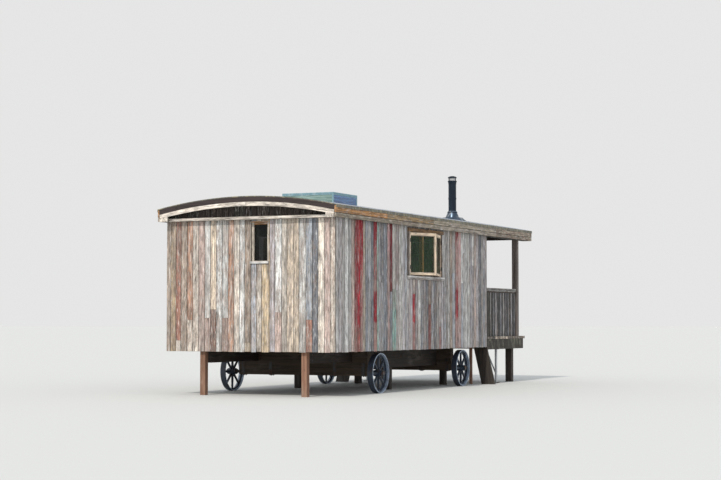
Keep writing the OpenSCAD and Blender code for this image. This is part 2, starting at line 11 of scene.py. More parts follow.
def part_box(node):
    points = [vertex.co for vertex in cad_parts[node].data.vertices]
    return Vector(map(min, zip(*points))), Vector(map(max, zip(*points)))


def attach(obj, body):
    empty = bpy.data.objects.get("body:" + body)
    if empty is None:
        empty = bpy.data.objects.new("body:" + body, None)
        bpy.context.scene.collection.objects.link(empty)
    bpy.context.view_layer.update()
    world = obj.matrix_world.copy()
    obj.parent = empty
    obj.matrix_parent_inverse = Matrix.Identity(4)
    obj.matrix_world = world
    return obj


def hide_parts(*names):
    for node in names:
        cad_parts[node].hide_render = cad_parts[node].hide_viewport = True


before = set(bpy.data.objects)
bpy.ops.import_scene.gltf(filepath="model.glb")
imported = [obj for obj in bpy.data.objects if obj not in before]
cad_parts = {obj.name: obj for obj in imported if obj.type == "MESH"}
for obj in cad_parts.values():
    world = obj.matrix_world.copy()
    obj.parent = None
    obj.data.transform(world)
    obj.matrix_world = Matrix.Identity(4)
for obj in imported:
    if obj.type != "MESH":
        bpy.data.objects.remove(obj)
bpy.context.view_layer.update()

bl_info = {
    "name": "Shepherds Hut Dressing",
    "version": (1, 0, 0),
    "blender": (4, 5, 0),
    "location": "3D View > Sidebar > Hut",
    "description": "Boards, joinery, roof, porch and ironwork of a shepherds hut",
    "category": "Add Mesh",
}

X, Y, Z = Vector((1, 0, 0)), Vector((0, 1, 0)), Vector((0, 0, 1))
HUT = "hut"
WHEELS = ["wheel_1_near", "wheel_1_far", "wheel_2_near", "wheel_2_far"]
# Angles from which an edge is drawn sharp or worn, on the pieces made here and on the CAD nodes
SHARP, SHARP_CAD = radians(40), radians(35)
# How far the tone of a board strays from its paint, when that is old and when it is new
OLD_STRAY, NEW_STRAY, WEAR_STRAY = 0.27, 0.06, 0.10


def srgb(r, g, b):
    """A colour as it looks on screen, as the linear values that a shader takes."""
    return tuple(c / 12.92 if c <= 0.04045 else ((c + 0.055) / 1.055) ** 2.4 for c in (r, g, b))


# Paints and weathered faces of the boards: how each looks, and how much of it is worn away
PAINTS = {
    "grey": ((0.64, 0.63, 0.625), 0.35),
    "lilac": ((0.655, 0.635, 0.65), 0.38),
    "pale": ((0.78, 0.775, 0.765), 0.40),
    "cream": ((0.78, 0.74, 0.695), 0.38),
    "tan": ((0.72, 0.66, 0.59), 0.35),
    "ochre": ((0.73, 0.65, 0.54), 0.35),
    "rust": ((0.62, 0.475, 0.395), 0.38),
    "rose": ((0.68, 0.60, 0.57), 0.38),
    "brown": ((0.56, 0.505, 0.46), 0.32),
    # umber and stained are dark old wood; on the crescent boards above the end ledge they are also painted
    # shade, and umber also makes the painted shadow under each handrail.
    "umber": ((0.235, 0.20, 0.18), 0.06),
    "blue_grey": ((0.61, 0.63, 0.66), 0.38),
    "slate": ((0.46, 0.47, 0.495), 0.32),
    "red": ((0.60, 0.095, 0.15), 0.30),
    "dark_red": ((0.45, 0.09, 0.13), 0.34),
    "pink": ((0.74, 0.56, 0.56), 0.40),
    "teal": ((0.54, 0.68, 0.65), 0.42),
    "red_brown": ((0.52, 0.375, 0.325), 0.35),
    "new_wood": ((0.88, 0.79, 0.69), 0.0),
    "reveal_wood": ((0.80, 0.755, 0.70), 0.05),
    "head_wood": ((0.44, 0.33, 0.22), 0.10),
    "orange_wood": ((0.80, 0.58, 0.32), 0.0),
    "trim": ((0.79, 0.75, 0.705), 0.20),
    "fascia_orange": ((0.64, 0.465, 0.29), 0.24),
    "fascia_straw": ((0.62, 0.51, 0.345), 0.30),
    "fascia_grey": ((0.57, 0.525, 0.46), 0.35),
    "stained": ((0.235, 0.22, 0.195), 0.16),
    "rail_dark": ((0.235, 0.23, 0.235), 0.14),
    "deck": ((0.43, 0.39, 0.35), 0.22),
}
# Shades that plain boards take, the commoner ones more often
COOL_MIX = ["grey"] * 5 + ["lilac"] * 5 + ["pale"] * 4 + ["blue_grey"] * 5 + ["rose", "slate"]
WARM_MIX = ["tan", "cream", "pale", "rose", "lilac", "ochre", "grey", "blue_grey", "brown", "cream",
            "rust"]


def spans(rows):
    """Rows with their own start and the next row's, without those that have no paint."""
    return [(row[0], after[0], *row[1:]) for row, after in zip(rows, rows[1:]) if row[1]]


# Painted and marked boards of the long wall: start in metres from the end wall, paint, and where
# a board has a joint, its height and the paint below it. A row with None starts a run of plain boards.
LONG_WALL_BANDS = spans([
    (0.022, "grey"), (0.13, "lilac"), (0.245, "grey"), (0.36, "pale"), (0.49, "grey"), (0.6, "rose"),
    (0.72, "dark_red"), (0.83, "red"), (0.94, "red"), (1.05, "tan"), (1.14, "slate"),
    (1.24, "blue_grey"), (1.36, "slate"), (1.46, "red"), (1.6, "teal"), (1.66, "lilac"),
    (1.74, "slate", 1.15, "blue_grey"), (1.86, "slate"), (2.02, "pink"),
    (2.115, "dark_red", 1, "slate"), (2.225, "pale", 1.05, "teal"), (2.38, None), (2.5, "pale"),
    (2.66, None), (3.09, "rose", 0.98, "red"), (3.21, None), (3.45, "slate"), (3.58, None),
    (3.8, "brown", 0.8, "dark_red"), (3.93, None), (4.05, "slate"), (4.17, None),
    (4.3, "lilac", 0.4, "dark_red"), (4.39, None), (4.8, "brown"), (4.93, None), (5.08, "red"),
    (5.22, "pink"), (5.36, None), (5.56, "pale"), (5.8, None), (6.02, "rose"), (6.13, None),
    (6.28, "slate"), (6.4, None),
])
# Where the long wall's paint has gone: heights up the board, each with the share that is worn away
LONG_WALL_WEAR = {
    0.72: ((0.0, 0.75), (0.35, 0.55), (0.55, 0.30), (1.2, 0.38), (2.1, 0.36)),
    0.83: ((0.0, 0.70), (0.3, 0.52), (0.5, 0.15), (1.1, 0.30), (1.6, 0.28), (2.1, 0.10)),
    0.94: ((0.0, 0.90), (0.35, 0.80), (0.6, 0.42), (1.2, 0.55), (1.5, 0.42), (2.1, 0.14)),
    1.46: ((0.0, 1.20), (0.42, 0.95), (0.52, 0.15), (0.98, 0.18), (1.06, 0.85), (1.25, 0.45), (2.1, 0.10)),
    2.02: ((0.0, 0.75), (1.3, 0.60), (2.1, 0.30)),
    2.115: ((0.0, 0.40), (1.0, 0.30), (2.1, 0.10)),
    2.225: ((0.0, 0.45), (0.7, 0.40), (1.05, 0.75), (2.1, 0.5)),
    3.09: ((0.0, 1.05), (0.40, 0.80), (0.50, 0.15), (0.90, 0.20), (1.2, 0.6)),
    3.80: ((0.0, 0.85), (0.25, 0.45), (0.75, 0.50), (1.2, 0.5)),
    4.30: ((0.0, 0.50), (0.30, 0.55), (1.2, 0.5)),
    5.22: ((0.0, 1.0), (0.6, 0.75), (1.2, 0.70), (2.1, 0.45)),
    5.08: ((0.0, 1.10), (0.45, 0.70), (0.62, 0.18), (1.05, 0.22), (1.25, 0.72), (1.7, 0.62), (2.1, 0.40)),
}
# The same for the sunny end wall, in metres from the near corner
END_WALL_BANDS = spans([
    (0, "cream"), (0.093, "rose"), (0.195, "cream"), (0.31, "slate"),
    (0.41, "blue_grey", 0.52, "red_brown"), (0.525, "pale"), (0.65, "tan"), (0.745, "tan"),
    (0.87, "cream"), (0.965, "pale", 0.64, "rose"), (1.09, "lilac"), (1.185, "ochre"), (1.335, "cream"),
    (1.43, "blue_grey"), (1.53, "brown", 0.15, "tan"), (1.645, "pale"), (1.745, "cream"),
    (1.845, "rust"), (1.955, "pale", 0.55, "rose"), (2.07, "pale"), (2.18, "tan", 0.69, "red_brown"),
    (2.29, "pale", 0.55, "rose"), (2.395, "rose"), (2.515, "cream"), (2.625, "rust", 0.52, "cream"),
    (2.735, "brown"), (2.85, "red_brown", 0.18, "cream"), (2.95, "ochre"), (3.05, "brown"),
    (3.13, None),
])

# Pale waney edges of the balustrade boards: share of its length, width in metres, paint
WANEY_EDGES = [
    (0.03, 0.030, "slate"), (0.16, 0.034, "grey"), (0.255, 0.030, "slate"), (0.33, 0.044, "lilac"),
    (0.49, 0.034, "slate"), (0.58, 0.044, "grey"), (0.66, 0.028, "slate"), (0.74, 0.038, "slate"),
    (0.84, 0.042, "lilac"), (0.945, 0.030, "slate"),
]


class HutBoardSettings(bpy.types.PropertyGroup):
    """Sizes of the boards."""
    width_min: FloatProperty(name="Narrowest board", description="Least width of a wall board",
                             default=0.094, unit="LENGTH")
    width_max: FloatProperty(name="Widest board", description="Greatest width of a wall board",
                             default=0.124, unit="LENGTH")
    thickness: FloatProperty(name="Board thickness", description="Thickness of a wall board",
                             default=0.022, unit="LENGTH")
    gap: FloatProperty(name="Board gap", description="Gap between two boards", default=0.003, unit="LENGTH")
    arris: FloatProperty(name="Arris", description="Width of the worn edge of a board",
                         default=0.003, unit="LENGTH")
    deck_width: FloatProperty(name="Deck board width", description="Width of a porch deck board",
                              default=0.136, unit="LENGTH")
    seed: IntProperty(name="Seed", description="Order in which the plain boards are drawn", default=7)


class HutRoofSettings(bpy.types.PropertyGroup):
    """Sizes of the roof."""
    bow_radius: FloatProperty(name="Bow radius", description="Radius of the underside of the roof",
                              default=7.8, unit="LENGTH")
    barge_depth: FloatProperty(name="Bargeboard depth", description="Depth of the bowed bargeboard",
                               default=0.070, unit="LENGTH")
    lap_pitch: FloatProperty(name="Lap pitch", description="Distance between the laps of the covering",
                             default=1.05, unit="LENGTH")
    sheet_colour: FloatVectorProperty(name="Sheet colour", description="Colour of the roof covering",
                                      subtype="COLOR", default=srgb(0.60, 0.63, 0.68))


class HutPaintSettings(bpy.types.PropertyGroup):
    """Colours of the boards."""
    __annotations__ = {
        key: FloatVectorProperty(name=key.replace("_", " ").capitalize(), subtype="COLOR",
                                 description=f"Colour of boards painted {key.replace('_', ' ')}",
                                 default=srgb(*colour))
        for key, (colour, worn) in PAINTS.items()
    }


class HutStageSettings(bpy.types.PropertyGroup):
    """Camera, lamps and floor."""
    lens: FloatProperty(name="Lens", description="Focal length", default=86.455, unit="CAMERA")
    eye: FloatVectorProperty(name="Eye", description="Where the camera stands", subtype="TRANSLATION",
                             default=(-29.2, -13.66, 1.21))
    yaw: FloatProperty(name="Yaw", description="Camera's turn from +X", subtype="ANGLE",
                       default=radians(25.21))
    pitch: FloatProperty(name="Pitch", description="Camera's tilt upwards", subtype="ANGLE",
                         default=radians(2.70))
    sun: FloatProperty(name="Sun", description="Strength of the main lamp", default=2.15)
    sky: FloatProperty(name="Sky", description="Strength of the soft light all round", default=0.90)
    floor_colour: FloatVectorProperty(name="Floor", description="Colour of the floor", subtype="COLOR",
                                      default=srgb(0.80, 0.80, 0.79))


SETTINGS = {
    "hut_boards": HutBoardSettings, "hut_roof": HutRoofSettings,
    "hut_paints": HutPaintSettings, "hut_stage": HutStageSettings,
}


# Shaders


class Wire:
    """A shader socket that takes arithmetic: each sum adds the Math node that works it out."""

    def __init__(self, nodes, socket):
        self.nodes, self.socket = nodes, socket

    def _math(self, operation, *terms):
        return self.nodes.node("ShaderNodeMath", dict(enumerate(terms)), operation=operation)

    def __add__(self, other):
        return self._math("ADD", self, other)

    def __sub__(self, other):
        return self._math("SUBTRACT", self, other)

    def __rsub__(self, other):
        return self._math("SUBTRACT", other, self)

    def __mul__(self, other):
        return self._math("MULTIPLY", self, other)

    __radd__, __rmul__ = __add__, __mul__

    def lowest(self, other):
        return self._math("MINIMUM", self, other)

    def highest(self, other):
        return self._math("MAXIMUM", self, other)

    def wrapped(self, step):
        return self._math("FLOORED_MODULO", self, step)


class Nodes:
    """A node tree and the method that adds a node to it."""

    def __init__(self, tree):
        self.tree = tree

    def node(self, kind, sockets=None, output=0, **settings):
        made = self.tree.nodes.new(kind)
        for key, value in settings.items():
            setattr(made, key, value)
        for key, value in (sockets or {}).items():
            if isinstance(value, Wire):
                self.tree.links.new(value.socket, made.inputs[key])
            else:
                made.inputs[key].default_value = value
        return Wire(self, made.outputs[output]) if made.outputs else None


class Finish(Nodes):
    """A material and the nodes that make it."""

    def __init__(self, name, **constants):
        self.material = bpy.data.materials.new(f"hut_{name}")
        self.material.use_nodes = True
        super().__init__(self.material.node_tree)
        self.shader = self.tree.nodes["Principled BSDF"]
        for socket, value in constants.items():
            self.shader.inputs[socket.replace("_", " ")].default_value = value

    def attribute(self, name, output="Vector"):
        return self.node("ShaderNodeAttribute", output=output, attribute_name=name)

    def place(self, output="Object"):
        return self.node("ShaderNodeTexCoord", output=output)

    def along(self, axis):
        """Object coordinates with the chosen axis last, so that the grain runs along it."""
        x, y, z = self.parts(self.place())
        order = {"x": (y, z, x), "y": (x, z, y), "z": (x, y, z)}[axis]
        return self.node("ShaderNodeCombineXYZ", dict(enumerate(order)))

    def parts(self, vector):
        """The three numbers of a vector."""
        made = self.node("ShaderNodeSeparateXYZ", {0: vector})
        return [Wire(self, output) for output in made.socket.node.outputs]

    def stretched(self, vector, scale):
        return self.node("ShaderNodeVectorMath", {0: vector, 1: scale}, operation="MULTIPLY")

    def noise(self, vector, scale, detail=3, roughness=0.55, distortion=0.0):
        """Noise from 0 to 1 over a vector stretched by a scale for each axis."""
        return self.node("ShaderNodeTexNoise", {
            "Vector": self.stretched(vector, scale), "Scale": 1.0, "Detail": detail,
            "Roughness": roughness, "Distortion": distortion})

    def cells(self, vector, scale):
        """Distance to the nearest scattered point."""
        return self.node("ShaderNodeTexVoronoi", {"Vector": self.stretched(vector, scale), "Scale": 1.0})

    def between(self, value, low, high, to_low=0.0, to_high=1.0):
        """A value's smooth rise from one level to another."""
        levels = {"Value": value, "From Min": low, "From Max": high, "To Min": to_low, "To Max": to_high}
        return self.node("ShaderNodeMapRange", levels, interpolation_type="SMOOTHSTEP")

    def mix(self, factor, a, b):
        """Two colours mixed; a plain tuple is a colour as it looks on screen."""
        a, b = ((*srgb(*c), 1) if isinstance(c, tuple) else c for c in (a, b))
        return self.node("ShaderNodeMix", {0: factor, 6: a, 7: b}, 2, data_type="RGBA")

    def shaded(self, colour, value):
        """A colour made darker or lighter by a value."""
        grey = self.node("ShaderNodeCombineXYZ", {0: value, 1: value, 2: value})
        return self.stretched(colour, grey)

    def bump(self, height, distance):
        return self.node("ShaderNodeBump", {"Height": height, "Distance": distance})

    def set(self, socket, value):
        if isinstance(value, Wire):
            self.tree.links.new(value.socket, self.shader.inputs[socket])
        else:
            self.shader.inputs[socket].default_value = value if isinstance(value, float) else (*value, 1)

    def finished(self, colour, roughness, normal=None):
        self.set("Base Color", colour)
        self.set("Roughness", roughness)
        if normal is not None:
            self.set("Normal", normal)
        return self.material


def reclaimed_boards(name):
    """Old paint and bare weathered wood, each board from its own tint, wear and grain, with painted shade
    along its long edges.
    """
    f = Finish(name)
    grain = f.attribute("grain")
    tint = f.attribute("tint", "Color")
    worn, seed, across = f.parts(f.attribute("traits"))
    drift = f.noise(grain, (3.0, 3.0, 0.7), 2)
    blotch = f.noise(grain, (17, 17, 3.4), 4, 0.62, 0.3)
    mottle = f.noise(grain, (26, 26, 5.5), 4, 0.68)
    figure = f.noise(grain, (46, 46, 1.5), 4, 0.6, 0.35)
    fibres = f.noise(grain, (330, 330, 6.5), 3, 0.6)
    streaks = f.noise(grain, (52, 52, 4.0), 4, 0.65)
    specks = f.noise(grain, (110, 110, 26), 3, 0.6)
    knot = f.between(f.cells(grain, (7.0, 7.0, 2.4)), 0.035, 0.085, 1.0, 0.0)
    silver, earth = (0.65, 0.61, 0.58), (0.49, 0.395, 0.34)
    bare = f.mix(f.between(drift * 0.6 + mottle * 0.4 + seed * 0.3, 0.45, 0.85), silver, earth)
    bare = f.mix(0.34, bare, tint)
    kept = f.between(streaks * 0.42 + specks * 0.28 + blotch * 0.40 + drift * 0.20 - worn * 0.36, 0.46, 0.55)
    colour = f.mix(kept, bare, tint)
    chalk = f.between(f.noise(grain, (60, 60, 6.0), 4, 0.68), 0.53, 0.66, 0.0, 0.62)
    chalk = chalk * f.between(worn, 0.0, 0.3, 0.12, 1.0)
    colour = f.mix(chalk, colour, (0.80, 0.79, 0.775))
    stain = f.between(f.noise(grain, (30, 30, 4.0), 4, 0.7), 0.54, 0.68, 1.03, 0.44)
    light = f.between(figure, 0.30, 0.70, 0.72, 1.30) * f.between(fibres, 0.33, 0.60, 0.76, 1.06)
    light = light * f.between(mottle, 0.36, 0.64, 0.70, 1.32) * stain
    # Painted shade: each board darkens towards its long edges, standing for the shadow in the gaps between
    # the boards.
    edge = f.between(across.lowest(1 - across), 0.0, 0.085, 0.42, 1.0)
    light = light * edge * (1 - knot * 0.62) * f.between(drift, 0.3, 0.7, 0.90, 1.10)
    relief = figure * 0.5 + fibres * 0.5 + kept * 0.25 - knot * 0.4
    return f.finished(f.shaded(colour, light), f.between(figure, 0.3, 0.7, 0.72, 0.9),
                      f.bump(relief, 0.0022))


def sawn_timber(name, axis, light, dark, weather=(0.45, 0.44, 0.42), weathering=0.3):
    """Timber of one kind in the row frame, with its grain along an axis."""
    f = Finish(name)
    grain = f.along(axis)
    drift = f.noise(grain, (2.2, 2.2, 0.6), 2)
    figure = f.noise(grain, (38, 38, 1.2), 4, 0.6, 0.4)
    fibres = f.noise(grain, (300, 300, 6.0), 3, 0.6)
    stains = f.noise(grain, (9, 9, 2.0), 4, 0.6)
    knot = f.between(f.cells(grain, (6.0, 6.0, 1.9)), 0.03, 0.08, 1.0, 0.0)
    colour = f.mix(f.between(figure * 0.7 + fibres * 0.3, 0.32, 0.68), dark, light)
    colour = f.mix(f.between(stains, 0.52, 0.74, 0.0, weathering), colour, weather)
    shade = f.between(drift, 0.3, 0.7, 0.78, 1.12) * (1 - knot * 0.55)
    relief = figure * 0.5 + fibres * 0.5 - knot * 0.4
    return f.finished(f.shaded(colour, shade), 0.8, f.bump(relief, 0.0018))


def inner_lining(name):
    """Boards inside the cabin, with a groove every 95 mm."""
    f = Finish(name)
    grain = f.along("z")
    x, y = f.parts(grain)[:2]
    groove = f.between((x + y).wrapped(0.095), 0.0, 0.007, 0.35, 1.0)
    figure = f.noise(grain, (40, 40, 1.6), 3, 0.6, 0.4)
    colour = f.mix(f.between(figure, 0.3, 0.7), (0.50, 0.36, 0.22), (0.66, 0.50, 0.32))
    return f.finished(f.shaded(colour, groove), 0.6, f.bump(groove, 0.003))


def roof_sheet(name):
    """Grey-blue sheet with dirt washed down its bow."""
    f = Finish(name)
    place = f.along("y")
    runs = f.noise(place, (14, 14, 1.1), 4, 0.6)
    dust = f.noise(place, (3, 3, 3), 4, 0.6)
    sheet = [*bpy.context.scene.hut_roof.sheet_colour, 1]
    colour = f.mix(f.between(runs, 0.45, 0.75, 0.0, 0.45), sheet, (0.50, 0.50, 0.49))
    colour = f.mix(f.between(dust, 0.55, 0.75, 0.0, 0.4), colour, (0.70, 0.70, 0.68))
    upward = f.parts(f.place("Normal"))[2]
    lichen = f.between(f.noise(place, (40, 9, 9), 4, 0.65), 0.48, 0.62)
    rim = f.mix(lichen, (0.36, 0.35, 0.32), (0.58, 0.55, 0.44))
    colour = f.mix(f.between(upward, 0.3, 0.7), rim, colour)
    return f.finished(colour, f.between(dust, 0.3, 0.7, 0.45, 0.65),
                      f.bump(f.noise(place, (30, 30, 30), 2), 0.002))


def cast_iron(name, paint, rust_share, metallic=0.0):
    """Old paint on cast iron, rusted where it has gone."""
    f = Finish(name)
    place = f.place()
    patches = f.noise(place, (9, 9, 9), 5, 0.62)
    grit = f.noise(place, (160, 160, 160), 3, 0.6)
    rust = f.between(patches * 0.75 + grit * 0.25, 0.62 - rust_share * 0.3, 0.70 - rust_share * 0.2)
    rusty = f.mix(f.between(grit, 0.35, 0.65), (0.24, 0.165, 0.125), (0.36, 0.25, 0.185))
    painted = f.mix(f.between(patches, 0.35, 0.65), paint, tuple(c * 0.8 for c in paint))
    colour = f.mix(rust, painted, rusty)
    f.set("Metallic", metallic)
    return f.finished(colour, f.between(rust * 0.7 + grit * 0.3, 0.1, 0.9, 0.42, 0.88),
                      f.bump(grit * 0.6 - rust * 0.4, 0.0012))


def galvanised(name, tone, roughness):
    """Zinc coating with its spangle and white bloom."""
    f = Finish(name)
    place = f.place()
    spangle = f.cells(place, (55, 55, 55))
    bloom = f.noise(place, (12, 12, 7), 4, 0.6)
    colour = f.mix(f.between(spangle, 0.1, 0.6), tone, tuple(c * 0.88 for c in tone))
    colour = f.mix(f.between(bloom, 0.5, 0.75, 0.0, 0.5), colour, (0.74, 0.75, 0.75))
    f.set("Metallic", f.between(bloom, 0.40, 0.70, 0.75, 0.30))
    return f.finished(colour, f.between(bloom, 0.35, 0.7, roughness, roughness + 0.25),
                      f.bump(bloom, 0.0008))


def enamel(name):
    """Blue-black flue enamel, dusted with soot in patches."""
    f = Finish(name, Specular_IOR_Level=0.30)
    place = f.place()
    soot = f.noise(place, (6, 6, 2.5), 4, 0.6)
    colour = f.mix(f.between(soot, 0.42, 0.70), (0.03, 0.09, 0.15), (0.07, 0.14, 0.20))
    return f.finished(colour, f.between(soot, 0.3, 0.7, 0.30, 0.52),
                      f.bump(f.noise(place, (90, 90, 90), 2), 0.0005))


def stained_rim(name):
    """Rim boards of the deck: dark wood with moss, lime and rust washed down them."""
    f = Finish(name)
    place = f.along("z")
    runs = f.noise(place, (11, 11, 2.6), 4, 0.62, 0.3)
    patches = f.noise(place, (2.4, 2.4, 2.0), 3, 0.55)
    fibres = f.noise(place, (26, 26, 170), 3, 0.6)
    colour = f.mix(f.between(fibres, 0.35, 0.65), (0.17, 0.155, 0.14), (0.26, 0.24, 0.21))
    moss = f.between(runs * 0.7 + patches * 0.3, 0.50, 0.66, 0.0, 0.80)
    colour = f.mix(moss, colour, (0.48, 0.48, 0.42))
    rust = f.between(runs * 0.35 + (1 - patches) * 0.65, 0.54, 0.66, 0.0, 0.60)
    colour = f.mix(rust, colour, (0.30, 0.17, 0.15))
    return f.finished(colour, 0.85, f.bump(fibres * 0.6 + moss * 0.4, 0.0015))


def window_glass(name, tint, dusty, share, shine):
    """Thin pane with a faint green cast, dust and a share of light that it holds back."""
    f = Finish(name, Specular_IOR_Level=shine)
    place = f.place()
    dust = f.noise(place, (5, 5, 3), 4, 0.6)
    f.set("Alpha", f.between(dust, 0.40, 0.80, share, min(share + 0.10, 1.0)))
    colour = f.mix(f.between(dust, 0.45, 0.75), tint, dusty)
    return f.finished(colour, f.between(dust, 0.45, 0.8, 0.03, 0.12))


def rooflight_side(name, tone, sky_reflection, share):
    """Side of the rooflight: tinted sheet with level streaks of painted sky reflection."""
    f = Finish(name, Coat_Weight=0.2)
    place = f.along("x")
    streaks = f.noise(place, (3, 70, 2.2), 4, 0.6, 0.8)
    broad = f.noise(place, (2, 16, 1.3), 3, 0.6, 0.6)
    # Painted reflection: level streaks of sky colour laid over the tinted sheet.
    sky = f.between(streaks * 0.6 + broad * 0.4, 0.44, 0.60, 0.0, share)
    colour = f.mix(sky, tone, sky_reflection)
    return f.finished(colour, f.between(broad, 0.3, 0.7, 0.12, 0.30))


# What makes each finish, with its colours and shares
FINISHES = {
    "reclaimed_boards": (reclaimed_boards,),
    "stained_rim": (stained_rim,),
    "inner_lining": (inner_lining,),
    "roof_sheet": (roof_sheet,),
    "flue_enamel": (enamel,),
    # dark_x and dark_z are dark old wood, made darker still as painted shade of the space under the hut.
    "dark_x": (sawn_timber, "x", (0.22, 0.185, 0.16), (0.12, 0.10, 0.09)),
    "dark_y": (sawn_timber, "y", (0.33, 0.265, 0.205), (0.18, 0.15, 0.12)),
    "dark_z": (sawn_timber, "z", (0.27, 0.235, 0.21), (0.15, 0.13, 0.115)),
    "roof_edge": (sawn_timber, "y", (0.27, 0.225, 0.22), (0.16, 0.13, 0.13)),
    "floor_boards": (sawn_timber, "x", (0.46, 0.36, 0.26), (0.30, 0.23, 0.16)),
    "post_red": (sawn_timber, "z", (0.58, 0.435, 0.35), (0.39, 0.27, 0.21), (0.66, 0.58, 0.51), 0.45),
    "porch_post": (sawn_timber, "z", (0.54, 0.50, 0.48), (0.29, 0.255, 0.245), (0.62, 0.59, 0.56), 0.6),
    "wheel_iron": (cast_iron, (0.20, 0.235, 0.29), 0.15),
    "black_iron": (cast_iron, (0.15, 0.15, 0.16), 0.5),
    "tyre_iron": (cast_iron, (0.66, 0.72, 0.80), 0.10, 0.3),
    "galvanised": (galvanised, (0.84, 0.85, 0.86), 0.42),
    "lead_grey": (galvanised, (0.52, 0.56, 0.60), 0.5),
    "dull_steel": (galvanised, (0.30, 0.36, 0.43), 0.26),
    "rooflight_frame": (galvanised, (0.60, 0.74, 0.78), 0.5),
    "side_glass": (window_glass, (0.16, 0.25, 0.15), (0.24, 0.31, 0.22), 0.30, 0.5),
    # End pane: almost black and mostly opaque, painted shade of the unlit room behind it.
    "end_glass": (window_glass, (0.05, 0.065, 0.055), (0.09, 0.11, 0.10), 0.82, 0.2),
    # Rooflight sides: sheet tint, colour of the painted sky reflection, and the greatest share of that
    # reflection.
    "rooflight_blue": (rooflight_side, (0.08, 0.29, 0.50), (0.40, 0.60, 0.78), 0.75),
    "rooflight_green": (rooflight_side, (0.42, 0.52, 0.49), (0.66, 0.75, 0.72), 0.8),
}


def finish(name):
    """The material of that name, made the first time that it is asked for."""
    known = bpy.data.materials.get(f"hut_{name}")
    if known:
        return known
    maker, *details = FINISHES[name]
    return maker(name, *details)


# Pieces


# Nails, bolts and nuts: sides, whether they look round, and radii with their distances along the axis
FIXINGS = {
    "nail": (6, True, ((0.0032, -0.002), (0.0032, 0.0008), (0.0016, 0.0014))),
    "strap_bolt": (10, True, ((0.007, 0), (0.005, 0.003), (0.001, 0.004))),
    "post_bolt": (12, True, ((0.009, 0), (0.008, 0.003), (0.003, 0.006))),
    "rim_bolt": (12, True, ((0.011, 0), (0.010, 0.004), (0.004, 0.008))),
    "spoke_bolt": (10, True, ((0.008, -0.014), (0.007, 0.003), (0.003, 0.006))),
    "hub_nut": (6, False, ((0.0052, 0), (0.0052, 0.005), (0.004, 0.006))),
    "bed_nut": (6, False, ((0.013, 0), (0.013, 0.010), (0.010, 0.012))),
    "rail_nut": (6, False, ((0.018, 0), (0.018, 0.003), (0.010, 0.004), (0.010, 0.012))),
}


